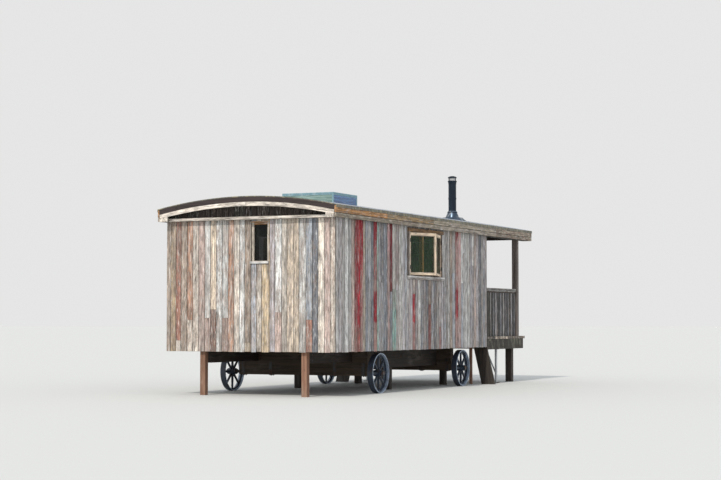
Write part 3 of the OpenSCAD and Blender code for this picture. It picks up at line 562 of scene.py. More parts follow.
class Piece:
    """Closed solids that share one mesh, each with its own grain, tint and wear."""

    def __init__(self, name, *looks):
        self.name, self.looks = name, looks or ("reclaimed_boards",)
        self.points, self.faces, self.face_looks, self.smooth = [], [], [], []
        self.grain, self.tint, self.traits = [], [], []
        self.dice = random.Random(f"{name}{bpy.context.scene.hut_boards.seed}")
        self.place = Matrix()
        self.look = 0

    def solid(self, rings, coords, paint="grey", across=None, closed=False, smooth=False, worn=None):
        """Joins rings of points into a closed solid and turns its faces outwards."""
        first, n = len(self.points), len(rings[0])
        points = [self.place @ p for ring in rings for p in ring]
        faces = []
        count = len(rings) if closed else len(rings) - 1
        for r in range(count):
            a, b = r * n, ((r + 1) % len(rings)) * n
            faces += [(a + i, a + (i + 1) % n, b + (i + 1) % n, b + i) for i in range(n)]
        sides = len(faces)
        if not closed:
            faces.append(tuple(reversed(range(n))))
            faces.append(tuple(range((len(rings) - 1) * n, len(rings) * n)))
        volume = 0.0
        for face in faces:
            for i in range(1, len(face) - 1):
                a, b, c = (points[face[k]] for k in (0, i, i + 1))
                volume += a.dot(b.cross(c))
        if volume < 0:
            faces = [tuple(reversed(face)) for face in faces]
        self.points += points
        self.faces += [tuple(first + i for i in face) for face in faces]
        self.face_looks += [self.look] * len(faces)
        self.smooth += [smooth and k < sides for k in range(len(faces))]
        shift = Vector([self.dice.uniform(0, 9) for _ in range(3)])
        self.grain += [Vector(c) + shift for ring in coords for c in ring]
        tone = 1 + self.dice.uniform(-1, 1) * (OLD_STRAY if PAINTS[paint][1] else NEW_STRAY)
        seed = self.dice.random()
        wear = PAINTS[paint][1] + self.dice.uniform(-WEAR_STRAY, WEAR_STRAY)
        colour = [c * tone for c in getattr(bpy.context.scene.hut_paints, paint)]
        self.tint += [(*colour, 1.0)] * len(points)
        spread = across or [[0.5] * n] * len(rings)
        shares = worn or [wear] * len(rings)
        self.traits += [(share, seed, a) for share, ring in zip(shares, spread) for a in ring]

    def board(self, foot, run, across, out, paint="grey", arris=0.003, all_round=False, trim=None,
              wear=None):
        """A board from its foot corner: along run, as wide as across and as thick as out."""
        foot, w, t = Vector(foot), across.length, out.length
        side, front = across.normalized(), out.normalized()
        e = min(arris, w * 0.3, t * 0.3)
        outline = [(0, t - e), (e, t), (w / 2, t), (w - e, t), (w, t - e)]
        outline += [(w, e), (w - e, 0), (e, 0), (0, e)] if all_round else [(w, 0), (0, 0)]
        rings, coords, spread = [], [], []
        for share, worn in wear or ((0.0, None), (1.0, None)):
            ring = [foot + run * share + side * a + front * b for a, b in outline]
            rings.append([trim(p) if trim else p for p in ring])
            coords.append([(a, b, run.length * share) for a, b in outline])
            spread.append([a / w for a, b in outline])
        self.solid(rings, coords, paint, spread, worn=[worn for share, worn in wear] if wear else None)

    def border(self, foot, wide, tall, bar, out, paints=("grey", "grey"), arris=0.003, all_round=False):
        """Four bars round a rectangle: two along its first side, then two between them."""
        foot, u, v = Vector(foot), wide.normalized() * bar, tall.normalized() * bar
        for start in (foot, foot + tall - v):
            self.board(start, wide, v, out, paints[0], arris, all_round)
        for start in (foot + v, foot + wide - u + v):
            self.board(start, tall - v * 2, u, out, paints[1], arris, all_round)

    def turned(self, centre, axis, profile, sides=24, closed=False, smooth=True):
        """A turned piece from (radius, distance along the axis) pairs."""
        centre, axis = Vector(centre), axis.normalized()
        u = axis.orthogonal().normalized()
        v = axis.cross(u)
        rings, coords = [], []
        for radius, height in profile:
            angles = [tau * i / sides for i in range(sides)]
            rings.append([centre + axis * height + (u * cos(a) + v * sin(a)) * radius
                          for a in angles])
            coords.append([(cos(a) * radius, sin(a) * radius, height) for a in angles])
        self.solid(rings, coords, closed=closed, smooth=smooth)

    def fixing(self, kind, centre, axis):
        sides, smooth, profile = FIXINGS[kind]
        self.turned(centre, axis, profile, sides, smooth=smooth)

    def bent(self, x_0, x_1, r_0, r_1, y_0, y_1, paint="grey", steps=24, arris=0.001):
        """A board bent to the roof's bow, between two radii."""
        rings, coords, spread = [], [], []
        a_0, a_1 = asin(y_0 / r_1), asin(y_1 / r_1)
        w, t = x_1 - x_0, r_1 - r_0
        e = min(arris, w * 0.3, t * 0.3)
        outline = [(0, e), (e, 0), (w - e, 0), (w, e), (w, t - e), (w - e, t), (e, t), (0, t - e)]
        for i in range(steps + 1):
            a = a_0 + (a_1 - a_0) * i / steps
            rings.append([Vector((x_0 + p, sin(a) * (r_0 + q), bow_centre() + cos(a) * (r_0 + q)))
                          for p, q in outline])
            coords.append([(q, p, a * r_1) for p, q in outline])
            spread.append([q / t for p, q in outline])
        self.solid(rings, coords, paint, spread)

    def copy_node(self, node, move):
        """Takes in a CAD node's own faces, with each point moved by a rule."""
        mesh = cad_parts[node].data
        first, places = len(self.points), [v.co.copy() for v in mesh.vertices]
        self.points += [move(p) for p in places]
        self.faces += [tuple(first + i for i in polygon.vertices) for polygon in mesh.polygons]
        self.face_looks += [self.look] * len(mesh.polygons)
        self.smooth += [False] * len(mesh.polygons)
        self.grain += places
        self.tint += [(0.3, 0.3, 0.3, 1.0)] * len(places)
        self.traits += [(0.3, 0.5, 0.5)] * len(places)

    def made(self, body=HUT, slot=None, stands_for=()):
        """Writes the mesh and sets it on its body."""
        mesh = bpy.data.meshes.new(self.name)
        mesh.from_pydata(self.points, [], self.faces)
        for name, kind, values, key in (("grain", "FLOAT_VECTOR", self.grain, "vector"),
                                        ("tint", "FLOAT_COLOR", self.tint, "color"),
                                        ("traits", "FLOAT_VECTOR", self.traits, "vector")):
            layer = mesh.attributes.new(name, kind, "POINT")
            layer.data.foreach_set(key, [number for value in values for number in value])
        for look in self.looks:
            mesh.materials.append(finish(look))
        mesh.polygons.foreach_set("material_index", self.face_looks)
        mesh.polygons.foreach_set("use_smooth", self.smooth)
        if any(self.smooth):
            mesh.set_sharp_from_angle(angle=SHARP)
        mesh.update()
        made = bpy.data.objects.new(self.name, mesh)
        bpy.context.scene.collection.objects.link(made)
        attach(made, body)
        if stands_for:
            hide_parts(*stands_for)
        return made


def dress(node, look, worn_edge=0.0, smooth=False):
    """Gives a CAD node its finish, and a worn edge where it has one."""
    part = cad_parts[node]
    part.data.materials.clear()
    part.data.materials.append(finish(look))
    if worn_edge:
        edge = part.modifiers.new("worn_edge", "BEVEL")
        edge.width, edge.segments, edge.limit_method = worn_edge, 2, "ANGLE"
        edge.angle_limit = SHARP
    part.data.polygons.foreach_set("use_smooth", [smooth] * len(part.data.polygons))
    if smooth:
        part.data.set_sharp_from_angle(angle=SHARP_CAD)


def bow_centre():
    """Height of the centre of the roof's bow."""
    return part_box("end_wall")[1].z - bpy.context.scene.hut_roof.bow_radius


def cover_radius():
    """Radius of the upper face of the roof's covering."""
    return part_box("roof_cover")[1].z - bow_centre()


def under_bow(lift):
    """A rule that cuts a point off at the roof's underside, or at a layer above or below it."""
    radius = bpy.context.scene.hut_roof.bow_radius + lift

    def trim(p):
        return Vector((p.x, p.y, min(p.z, bow_centre() + sqrt(radius ** 2 - p.y ** 2))))
    return trim


def worn_between(marks, low, high):
    """Shares of a board's length with the wear there, for a board between two heights."""
    def wear_at(h):
        for (h_0, w_0), (h_1, w_1) in zip(marks, marks[1:]):
            if h <= h_1:
                return w_0 + (w_1 - w_0) * max(h - h_0, 0.0) / (h_1 - h_0)
        return marks[-1][1]
    heights = [low] + [h for h, worn in marks if low + 0.01 < h < high - 0.01] + [high]
    return [((h - low) / (high - low), wear_at(h)) for h in heights]


def clad(piece, corner, run, out, start, end, top, opening, bands, mix, breaks, wear):
    """Upright boards along a wall. Distances run from the corner, heights from the boards' foot."""
    boards = bpy.context.scene.hut_boards
    dice, gap, thick = piece.dice, boards.gap, boards.thickness
    tall, jointed, sunk_most = 1.4, 0.45, 0.0035
    edges = sorted({e for band in bands for e in band[:2]} | {*opening[:2], end})
    s = start
    while s < end - 0.005:
        w = dice.uniform(boards.width_min, boards.width_max)
        room = next(e for e in edges if e > s + 0.004) - s
        if room < w * 1.5:
            w = room if room < w * 1.15 or room < boards.width_max * 1.25 else room / 2
        middle = s + w / 2
        band = next((b for b in bands if b[0] <= middle < b[1]), None)
        paint = band[2] if band else dice.choice(mix)
        joint, paint_below = band[3:] if band and len(band) > 3 else (None, None)
        cuts = [(0.0, top)]
        if opening[0] <= middle <= opening[1]:
            cuts = [(lo, hi) for lo, hi in ((0.0, opening[2]), (opening[3], top)) if hi > lo + 0.01]
        for lo, hi in cuts:
            joints = [lo, hi, *(b for b in breaks if lo < b < hi)]
            if joint and lo < joint < hi:
                joints.append(joint)
            elif hi - lo > tall and dice.random() < (0.0 if band else jointed):
                joints.append(dice.uniform(lo + 0.3, hi - 0.35))
            joints.sort()
            for k, (h_0, h_1) in enumerate(zip(joints, joints[1:])):
                shade = paint_below if joint and h_1 <= joint + 0.001 else paint
                # Boards above the end ledge, in the crescent under the bow, take dark umber and stained
                # paints: painted shade of the roof's overhang on them.
                if breaks and h_0 >= breaks[-1] - 0.001:
                    shade = dice.choice(["umber", "umber", "umber", "umber", "stained"])
                elif not band and k == 0 and len(joints) > 2:
                    shade = dice.choice(mix)
                inset = dice.uniform(0.0, sunk_most)
                drop = dice.uniform(-0.006, 0.004) if h_0 == 0 else gap / 2
                marks = wear.get(band[0]) if band else None
                piece.board(corner - out * thick + run * (s + gap / 2) + Z * (h_0 + drop),
                            Z * (h_1 - h_0 - drop - gap / 2), run * (w - gap), out * (thick - inset), shade,
                            boards.arris, trim=under_bow(-0.002),
                            wear=worn_between(marks, h_0, h_1) if marks else None)
        s += w


def nail_rows(piece, corner, run, out, start, end, opening):
    """Pairs of nail heads across the boards at the levels of the battens."""
    pitch, inset, clear, stray, battens = 0.108, 0.0015, 0.06, 0.012, (0.10, 0.72, 1.30, 2.08)
    left, right, sill, head = opening
    for h in battens:
        s = start + pitch / 4
        while s < end - 0.01:
            if not (left - clear < s < right + clear and sill - clear < h < head + clear):
                spot = corner + run * s + Z * (h + piece.dice.uniform(-stray, stray)) - out * inset
                piece.fixing("nail", spot, out)
            s += pitch / 2


def measure(node):
    """Lowest and highest corner of a CAD node's box, and its size."""
    low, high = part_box(node)
    return low, high, high - low


class HUT_OT_walls(bpy.types.Operator):
    """Walls: inner lining and upright reclaimed boards on all four sides."""
    bl_idname = "hut.walls"
    bl_label = "Walls"
    bl_options = {"REGISTER", "UNDO"}

    def execute(self, context):
        scene = context.scene
        low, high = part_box("end_wall")[0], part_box("porch_wall")[1]
        size, inset = high - low, scene.hut_boards.thickness
        skin, casing, first_nail, long_top, short_top = inset + 0.002, 0.056, 0.02, 2.24, 2.5

        def core(p):
            return Vector((min(max(p.x, low.x + skin), high.x - skin),
                           min(max(p.y, low.y + skin), high.y - skin), p.z))

        def hole(node, axis, rim=0.0):
            start, end = (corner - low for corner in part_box(node))
            return start[axis] + rim, end[axis] - rim, start.z + rim, end.z - rim

        window = hole("near_window_frame", 0, casing)
        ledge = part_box("end_ledge")[0].z + 0.02 - low.z
        far_corner, porch_corner = Vector((low.x, high.y, low.z)), Vector((high.x, low.y, low.z))
        long_side, short_side = (inset, size.x - inset, long_top), (0.0, size.y, short_top)
        nails = Piece("wall_nails", "black_iron")
        for node, corner, run, out, side, opening, bands, mix, breaks, wear in (
                ("near_wall", low, X, -Y, long_side, window, LONG_WALL_BANDS, COOL_MIX, (), LONG_WALL_WEAR),
                ("far_wall", far_corner, X, Y, long_side, window, [], COOL_MIX + ["red", "dark_red", "teal"],
                 (), {}),
                ("end_wall", low, Y, -X, short_side, hole("end_window_frame", 1), END_WALL_BANDS, WARM_MIX,
                 (ledge,), {}),
                ("porch_wall", porch_corner, Y, X, short_side, hole("door_frame", 1), [],
                 COOL_MIX + WARM_MIX, (), {})):
            piece = Piece(f"{node}_boards", "reclaimed_boards", "inner_lining")
            clad(piece, corner, run, out, *side, opening, bands, mix, breaks, wear)
            piece.look = 1
            piece.copy_node(node, core)
            piece.made(slot="reclaimed_board", stands_for=[node])
            start, end = (first_nail, size.x) if run == X else (0.0, size.y)
            nail_rows(nails, corner, run, out, start, end, opening)
        nails.made(slot="iron")
        return {"FINISHED"}


def casement(leaf, metal, pane, width, height, hinged_right):
    """One side-hung leaf in its own frame: stiles, rails, beads, glass, hinges and catch."""
    stile, top_rail, low_rail, thick, bead, rebate = 0.040, 0.050, 0.038, 0.044, 0.009, 0.006
    inner_w, inner_h = width - 2 * stile, height - low_rail - top_rail
    for x in (0.0, width - stile):
        leaf.board((x, 0, 0), Z * height, X * stile, Y * thick, "new_wood", 0.003, True)
    for z, rail in ((0.0, low_rail), (height - top_rail, top_rail)):
        leaf.board((stile, 0.001, z), X * inner_w, Z * rail, Y * (thick - 0.002), "new_wood", 0.002, True)
    for y in (0.008, thick - 0.008 - bead):
        leaf.border((stile, y, low_rail), X * inner_w, Z * inner_h, bead, Y * bead, ("tan", "tan"), 0.002,
                    True)
    pane.board((stile - rebate, thick / 2 - 0.002, low_rail - rebate), Z * (inner_h + 2 * rebate),
               X * (inner_w + 2 * rebate), Y * 0.004, arris=0.0005)
    hinge_h, hinge_in, knuckle, flap_w, flap_t = 0.07, 0.10, 0.0055, 0.030, 0.0015
    edge, flap, grip = 0.0, 0.006, width - stile / 2
    if hinged_right:
        edge, flap, grip = width, width - flap - flap_w, stile / 2
    for z in (hinge_in, height - hinge_in - hinge_h):
        metal.turned((edge, -0.004, z), Z, [(knuckle, 0), (knuckle, hinge_h)], 12)
        metal.board((flap, -flap_t, z), Z * hinge_h, X * flap_w, Y * flap_t, arris=0.0004)
    metal.board((grip - 0.009, thick, height * 0.42), Z * 0.11, X * 0.018, Y * 0.004, arris=0.001)
    metal.turned((grip, thick, height * 0.5), Y, [(0.006, 0.0), (0.006, 0.030)], 10)
    metal.board((grip - 0.006, thick + 0.026, height * 0.37), Z * 0.10, X * 0.012, Y * 0.008,
                arris=0.002, all_round=True)


class HUT_OT_side_windows(bpy.types.Operator):
    """Side windows: casing, lining, sill and mullion, with two casements that stand ajar."""
    bl_idname = "hut.side_windows"
    bl_label = "Side windows"
    bl_options = {"REGISTER", "UNDO"}

    def execute(self, context):
        low, high, size = measure("near_window_frame")
        wall, depth = (corner.y for corner in measure("near_wall")[::2])
        casing, lap, lining, mullion, play = 0.066, 0.010, 0.020, 0.060, 0.003
        x_0, x_1 = low.x + casing - lap, high.x - casing + lap
        z_0, z_1 = low.z + casing - lap, high.z - casing + lap
        wide, tall = x_1 - x_0, z_1 - z_0
        leaf_w = (wide - 2 * lining - mullion) / 2 - 2 * play
        leaf_h = tall - 2 * lining - 2 * play
        sill_back, rebate = wall + 0.03, 0.044
        for side in ("near", "far"):
            flip = Matrix() if side == "near" else Matrix.Scale(-1, 4, Y)
            trim = Piece(f"{side}_window_surround")
            trim.place = flip
            trim.board((low.x, wall, z_1 - lap), X * size.x, Z * casing, -Y * 0.026, "head_wood")
            trim.board((low.x + 0.002, wall, low.z), X * (size.x - 0.004), Z * casing, -Y * 0.022)
            for x, paint in ((low.x, "brown"), (x_1 - lap, "grey")):
                trim.board((x, wall, z_0 + lap), Z * (tall - 2 * lap), X * casing, -Y * 0.024, paint)
            trim.board((low.x, sill_back, low.z + 0.028), X * size.x, Z * 0.036, -Y * (sill_back - low.y),
                       arris=0.006)
            trim.border((x_0, wall, z_0), X * wide, Z * tall, lining, Y * depth, ("tan", "orange_wood"),
                        0.001)
            trim.board(((x_0 + x_1 - mullion) / 2, wall + rebate, z_0 + lining), Z * (tall - 2 * lining),
                       X * mullion, Y * (depth - rebate), "orange_wood", 0.003, True)
            trim.made(slot="pale_trim", stands_for=[f"{side}_window_frame"])

            leaf = Piece(f"{side}_window_casements")
            metal = Piece(f"{side}_window_ironwork", "black_iron")
            pane = Piece(f"{side}_window_panes", "side_glass")
            for hinge, way, angle in ((x_0 + lining + 0.0003, 1, 21), (x_1 - lining - 0.0003, -1, 16)):
                leaf.place = metal.place = pane.place = (
                    flip @ Matrix.Translation((hinge, wall, z_0 + lining + play))
                    @ Matrix.Rotation(radians(-way * angle), 4, "Z")
                    @ Matrix.Translation((0 if way > 0 else -leaf_w, 0, 0)))
                casement(leaf, metal, pane, leaf_w, leaf_h, way < 0)
            leaf.made(slot="new_timber", stands_for=[f"{side}_window_sashes"])
            metal.made(slot="iron")
            pane.made(slot="window_glass", stands_for=[f"{side}_window_glass"])
        return {"FINISHED"}


class HUT_OT_end_window(bpy.types.Operator):
    """End window: cream side reveals, red-brown head, worn sill and the sash in its reveal."""
    bl_idname = "hut.end_window"
    bl_label = "End window"
    bl_options = {"REGISTER", "UNDO"}

    def execute(self, context):
        low, high, size = measure("end_window_frame")
        wall, back = (corner.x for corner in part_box("end_wall"))
        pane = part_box("end_window_glass")
        front, bar, lining, shadow = pane[0].x + pane[1].x - back, pane[0].y - low.y, 0.011, 0.002
        trim = Piece("end_window_surround")
        reveal = X * (front - wall)
        for y in (high.y - lining, low.y):
            trim.board((wall + shadow, y, low.z), Z * size.z, Y * lining, reveal, "reveal_wood", 0.001)
        trim.board((wall + shadow, low.y + lining, high.z - lining), Y * (size.y - 2 * lining), Z * lining,
                   reveal, "fascia_orange", 0.001)
        for y in (low.y, high.y - bar):
            trim.board((back, y, low.z), Z * size.z, Y * bar, X * (front - back), "reveal_wood", 0.003)
        for z, paint in ((low.z, "reveal_wood"), (high.z - bar, "fascia_orange")):
            trim.board((back, low.y + bar, z), Y * (size.y - 2 * bar), Z * bar, X * (front - back + shadow),
                       paint, 0.002)
        trim.board((front + shadow, low.y, low.z), Y * size.y, Z * 0.040, -X * (front + shadow - low.x),
                   "pale", 0.006)
        trim.made(slot="pale_trim", stands_for=["end_window_frame"])
        dress("end_window_glass", "end_glass")
        return {"FINISHED"}


class HUT_OT_door(bpy.types.Operator):
    """Door: upright planks on ledges in a plain frame, with strap hinges and a ring latch."""
    bl_idname = "hut.door"
    bl_label = "Door"
    bl_options = {"REGISTER", "UNDO"}

    def execute(self, context):
        low, high, size = measure("door_frame")
        foot, head, leaf_size = measure("door_leaf")
        jamb = foot.y - low.y - 0.0003
        surround = Piece("door_surround")
        for y in (low.y, high.y - jamb):
            surround.board((low.x, y, low.z), Z * (size.z - jamb), Y * jamb, X * size.x, "tan", 0.003, True)
        surround.board((low.x, low.y, high.z - jamb), Y * size.y, Z * jamb, X * size.x, "tan", 0.003, True)
        surround.made(slot="new_timber", stands_for=["door_frame"])

        leaf = Piece("door_planks")
        paints = ("rose", "grey", "brown", "tan", "grey", "rust", "brown")
        plank, face, gap, in_from_edge = leaf_size.y / len(paints), 0.022, 0.002, 0.02
        ledge_levels, ledge_h = (0.15, 0.86, 1.58), 0.12
        strap_levels, bolts, bolt_pitch = (0.19, 1.62), 4, 0.11
        for i, paint in enumerate(paints):
            leaf.board((head.x - face, foot.y + i * plank + gap / 2, foot.z), Z * leaf_size.z,
                       Y * (plank - gap), X * face, paint, 0.004)
        for z in ledge_levels:
            leaf.board((head.x - face, foot.y + in_from_edge, foot.z + z),
                       Y * (leaf_size.y - 2 * in_from_edge), Z * ledge_h, -X * (leaf_size.x - face), "brown",
                       0.004)
        leaf.made(slot="reclaimed_board", stands_for=["door_leaf"])

        iron = Piece("door_ironwork", "black_iron")
        for z in strap_levels:
            strap = Vector((head.x, foot.y, foot.z + z))
            iron.board(strap + Y * 0.004, Y * 0.46, Z * 0.038, X * 0.005, arris=0.001)
            iron.turned(strap + Vector((0.006, 0.002, -0.006)), Z, [(0.007, 0), (0.007, 0.05)], 12)
            for k in range(bolts):
                iron.fixing("strap_bolt", strap + Vector((0.005, 0.06 + bolt_pitch * k, 0.019)), X)
        latch = Vector((head.x, head.y - 0.075, foot.z + 0.98))
        rose = [(0.028, 0), (0.028, 0.004), (0.012, 0.006), (0.010, 0.018), (0.003, 0.020)]
        iron.turned(latch, X, rose, 20)
        centre, ring_r, wire_r = latch + X * 0.014 - Z * 0.034, 0.030, 0.004
        turns = [tau * i / 24 for i in range(24)]
        rings = []
        for a in turns:
            outward = Z * cos(a) + Y * sin(a)
            rings.append([centre + outward * (ring_r + wire_r * cos(b)) + X * (wire_r * sin(b))
                          for b in turns[::3]])
        iron.solid(rings, rings, closed=True, smooth=True)
        iron.made(slot="iron")
        return {"FINISHED"}


class HUT_OT_roof(bpy.types.Operator):
    """Roof: sheet covering with laps, fascias, soffits, bargeboards and the ledge."""
    bl_idname = "hut.roof"
    bl_label = "Roof"
    bl_options = {"REGISTER", "UNDO"}

    def execute(self, context):
        scene = context.scene
        radius = scene.hut_roof.bow_radius
        dress("roof_cover", "roof_sheet", smooth=True)
        dress("roof_deck", "roof_edge", 0.003)
        dress("eave_boards", "dark_x", 0.003)
        low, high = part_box("roof_cover")
        laps, top = Piece("roof_laps", "roof_sheet"), cover_radius()
        half_lap, first_lap, last_lap = 0.03, 0.9, 0.3
        x = low.x + first_lap
        while x < high.x - last_lap:
            laps.bent(x - half_lap, x + half_lap, top - 0.004, top + 0.003, low.y + 0.004, high.y - 0.004,
                      steps=48)
            x += scene.hut_roof.lap_pitch
        laps.made(slot="roof_grey")

        fascia = Piece("fascia_boards")
        deck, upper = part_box("roof_deck")[1].y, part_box("upper_fascias")[0].z
        low, high, size = measure("lower_fascias")
        upper_h, upper_joints, lower_joints = 0.115, (-2.62, -0.60, 2.53), (-1.31, 2.53)
        rows = ((upper, upper_h, high.y - deck, 0.002, upper_joints,
                 ("fascia_orange", "fascia_straw", "fascia_grey", "fascia_grey")),
                (low.z, size.z - 0.003, high.y - deck - 0.002, 0.003, lower_joints, ["fascia_grey"] * 3))
        for side in (-1, 1):
            for z, height, thick, arris, joints, paints in rows:
                ends = (low.x, *joints, high.x)
                for a, b, paint in zip(ends, ends[1:], paints):
                    fascia.board((a, side * deck, z), X * (b - a - 0.002), Z * height, Y * side * thick,
                                 paint, arris)
        fascia.made(slot="fascia_brown", stands_for=["upper_fascias", "lower_fascias"])

        barge = Piece("barge_and_ledge")
        low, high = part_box("bargeboards")
        depth, thick, foot_w, foot_h, within = scene.hut_roof.barge_depth, 0.028, 0.165, 0.3, 0.9995
        for x in (low.x, high.x - thick):
            for y_0, y_1 in ((low.y, -0.01), (-0.008, high.y)):
                barge.bent(x, x + thick, radius - depth, radius - 0.0005, y_0 * within, y_1 * within,
                           "trim", 20, 0.002)
            for y in (low.y, high.y - foot_w):
                barge.board((x, y, low.z), Z * foot_h, Y * foot_w, X * (thick - 0.001), "trim", 0.002, True,
                            under_bow(-depth + 0.001))
        ledge, ledge_high, size = measure("end_ledge")
        barge.board((ledge_high.x, ledge.y, ledge.z), Y * size.y, Z * size.z, -X * size.x, "trim", 0.005)
        barge.made(slot="pale_trim", stands_for=["bargeboards", "end_ledge"])

        soffit = Piece("porch_ceiling_boards")
        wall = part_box("porch_wall")[1].x
        count, steep, face = 26, asin(1.45 / radius), radius - 0.0005
        for i in range(count):
            a, b = (steep * (2 * k / count - 1) for k in (i, i + 1))
            p, q = (Vector((wall + 0.001, sin(t) * face, bow_centre() + cos(t) * face))
                    for t in (a, b))
            down = Vector((0, sin((a + b) / 2), cos((a + b) / 2))) * -0.014
            soffit.board(p, X * (high.x - thick - wall - 0.003), (q - p) * 0.975, down,
                         soffit.dice.choice(["brown", "umber", "grey", "brown"]))
        soffit.made(slot="dark_timber")
        return {"FINISHED"}


class HUT_OT_rooflight(bpy.types.Operator):
    """Rooflight: tinted side sheets between corner posts, a glazed lid and lead round its foot."""
    bl_idname = "hut.rooflight"
    bl_label = "Rooflight"
    bl_options = {"REGISTER", "UNDO"}

    def execute(self, context):
        low, high, size = measure("rooflight_kerb")
        post, rail, slack = 0.030, 0.024, 0.002
        wide, deep, tall = size.x - 2 * post, size.y - 2 * post, size.z - rail
        bars = Piece("rooflight_frame", "rooflight_frame")
        for x in (low.x, high.x - post):
            for y in (low.y, high.y - post):
                bars.board((x, y, low.z), Z * size.z, X * post, Y * post, all_round=True)
        for y in (low.y + slack, high.y - post + slack):
            bars.board((low.x + post, y, high.z - rail), X * wide, Z * rail, Y * (post - 2 * slack),
                       arris=0.002, all_round=True)
        for x in (low.x + slack, high.x - post + slack):
            bars.board((x, low.y + post, high.z - rail), Y * deep, Z * rail, X * (post - 2 * slack),
                       arris=0.002, all_round=True)
        bars.made(slot="galvanised", stands_for=["rooflight_kerb"])

        sides, inset, sheet = Piece("rooflight_sides", "rooflight_blue", "rooflight_green"), 0.020, 0.014
        for y, out in ((low.y + inset, -Y), (high.y - inset, Y)):
            sides.board((low.x + post, y, low.z), Z * tall, X * wide, out * sheet, arris=0.001)
        sides.look = 1
        for x, out in ((low.x + inset, -X), (high.x - inset, X)):
            sides.board((x, low.y + post, low.z), Z * tall, Y * deep, out * sheet, arris=0.001)
        sides.made(slot="rooflight_glass")

        lid, bar = Piece("rooflight_lid_frame", "rooflight_frame", "rooflight_green"), 0.055
        foot, size = measure("rooflight_lid")[::2]
        lid.border(foot, X * size.x, Y * size.y, bar, Z * size.z)
        lid.look = 1
        lid.board(foot + Vector((bar, bar, 0.004)), X * (size.x - 2 * bar), Y * (size.y - 2 * bar),
                  Z * 0.010, arris=0.001)
        lid.made(slot="rooflight_glass", stands_for=["rooflight_lid"])

        apron, r, lap = Piece("rooflight_apron", "lead_grey"), cover_radius(), 0.002
        low_in, high_in, reach = low + (X + Y) * lap, high - (X + Y) * lap, 0.07
        for x_0, x_1 in ((low.x - reach, low_in.x), (high_in.x, high.x + reach)):
            apron.bent(x_0, x_1, r - 0.004, r + 0.005, low.y - reach, high.y + reach, steps=16)
        for y_0, y_1 in ((low.y - reach, low_in.y), (high_in.y, high.y + reach)):
            apron.bent(low_in.x, high_in.x, r - 0.004, r + 0.005, y_0, y_1, steps=4)
        apron.made(slot="galvanised")
        return {"FINISHED"}


class HUT_OT_flue(bpy.types.Operator):
    """Flue: enamelled pipe with a joint band, storm collar, spun flashing and rain cap."""
    bl_idname = "hut.flue"
    bl_label = "Flue"
    bl_options = {"REGISTER", "UNDO"}

    def execute(self, context):
        dress("flue_pipe", "flue_enamel", smooth=True)
        dress("flue_flashing", "dull_steel", smooth=True)
        low, high, size = measure("flue_cowl")
        foot, pipe = measure("flue_pipe")[::2]
        cone_low, cone_high, cone = measure("flue_flashing")
        r, r_cap, r_cone = pipe.x / 2, size.x / 2, cone.x / 2
        centre = Vector(((low.x + high.x) / 2, (low.y + high.y) / 2, 0))
        base, h = centre + Z * low.z, size.z
        cap, rods, wall = Piece("flue_cap", "flue_enamel"), 12, 0.006
        cap.turned(base, Z, [(r + 0.001, -0.03), (r + 0.004, -0.03), (r + 0.004, 0.0), (r_cap, 0.012),
                             (r_cap, 0.030), (r + 0.002, 0.034), (r - wall, 0.030), (r - wall, -0.028)],
                   40, closed=True)
        for a in (tau * k / rods for k in range(rods)):
            cap.turned(base + (X * cos(a) + Y * sin(a)) * (r - wall), Z,
                       [(0.004, 0.028), (0.004, h - 0.034)], 6)
        cap.turned(base, Z, [(r_cap, h - 0.040), (r_cap, h - 0.030), (r_cap * 0.80, h - 0.012),
                             (r_cap * 0.35, h - 0.001), (0.004, h), (0.004, h - 0.036)], 40, closed=True)
        cap.made(slot="flue_black", stands_for=["flue_cowl"])

        rings = Piece("flue_bands", "flue_enamel", "dull_steel")
        band = [(-0.001, 0.0), (0.004, 0.0), (0.004, 0.03), (-0.001, 0.03)]
        collar = [(0.001, -0.006), (0.026, -0.016), (0.028, -0.013), (0.004, 0.012), (0.001, 0.012)]
        for look, outline, z in ((0, band, foot.z + pipe.z * 0.66), (1, collar, cone_high.z)):
            rings.look = look
            rings.turned(centre, Z, [(r + dr, z + dz) for dr, dz in outline], 40, closed=True)
        rings.made(slot="flue_black")

        plate = Piece("flue_base_plate", "lead_grey", "dull_steel")
        lead, reach = cover_radius(), r_cone + 0.070
        plate.bent(centre.x - reach, centre.x + reach, lead - 0.004, lead + 0.004, centre.y - reach,
                   centre.y + reach, steps=8)
        plate.look = 1
        skirt = [(0.062, -0.002), (0.020, 0.030), (-0.012, 0.062), (-0.020, 0.060), (0.014, 0.026),
                 (0.056, -0.006)]
        plate.turned(centre, Z, [(r_cone + dr, cone_low.z + dz) for dr, dz in skirt], 48, closed=True)
        plate.made(slot="galvanised")
        return {"FINISHED"}


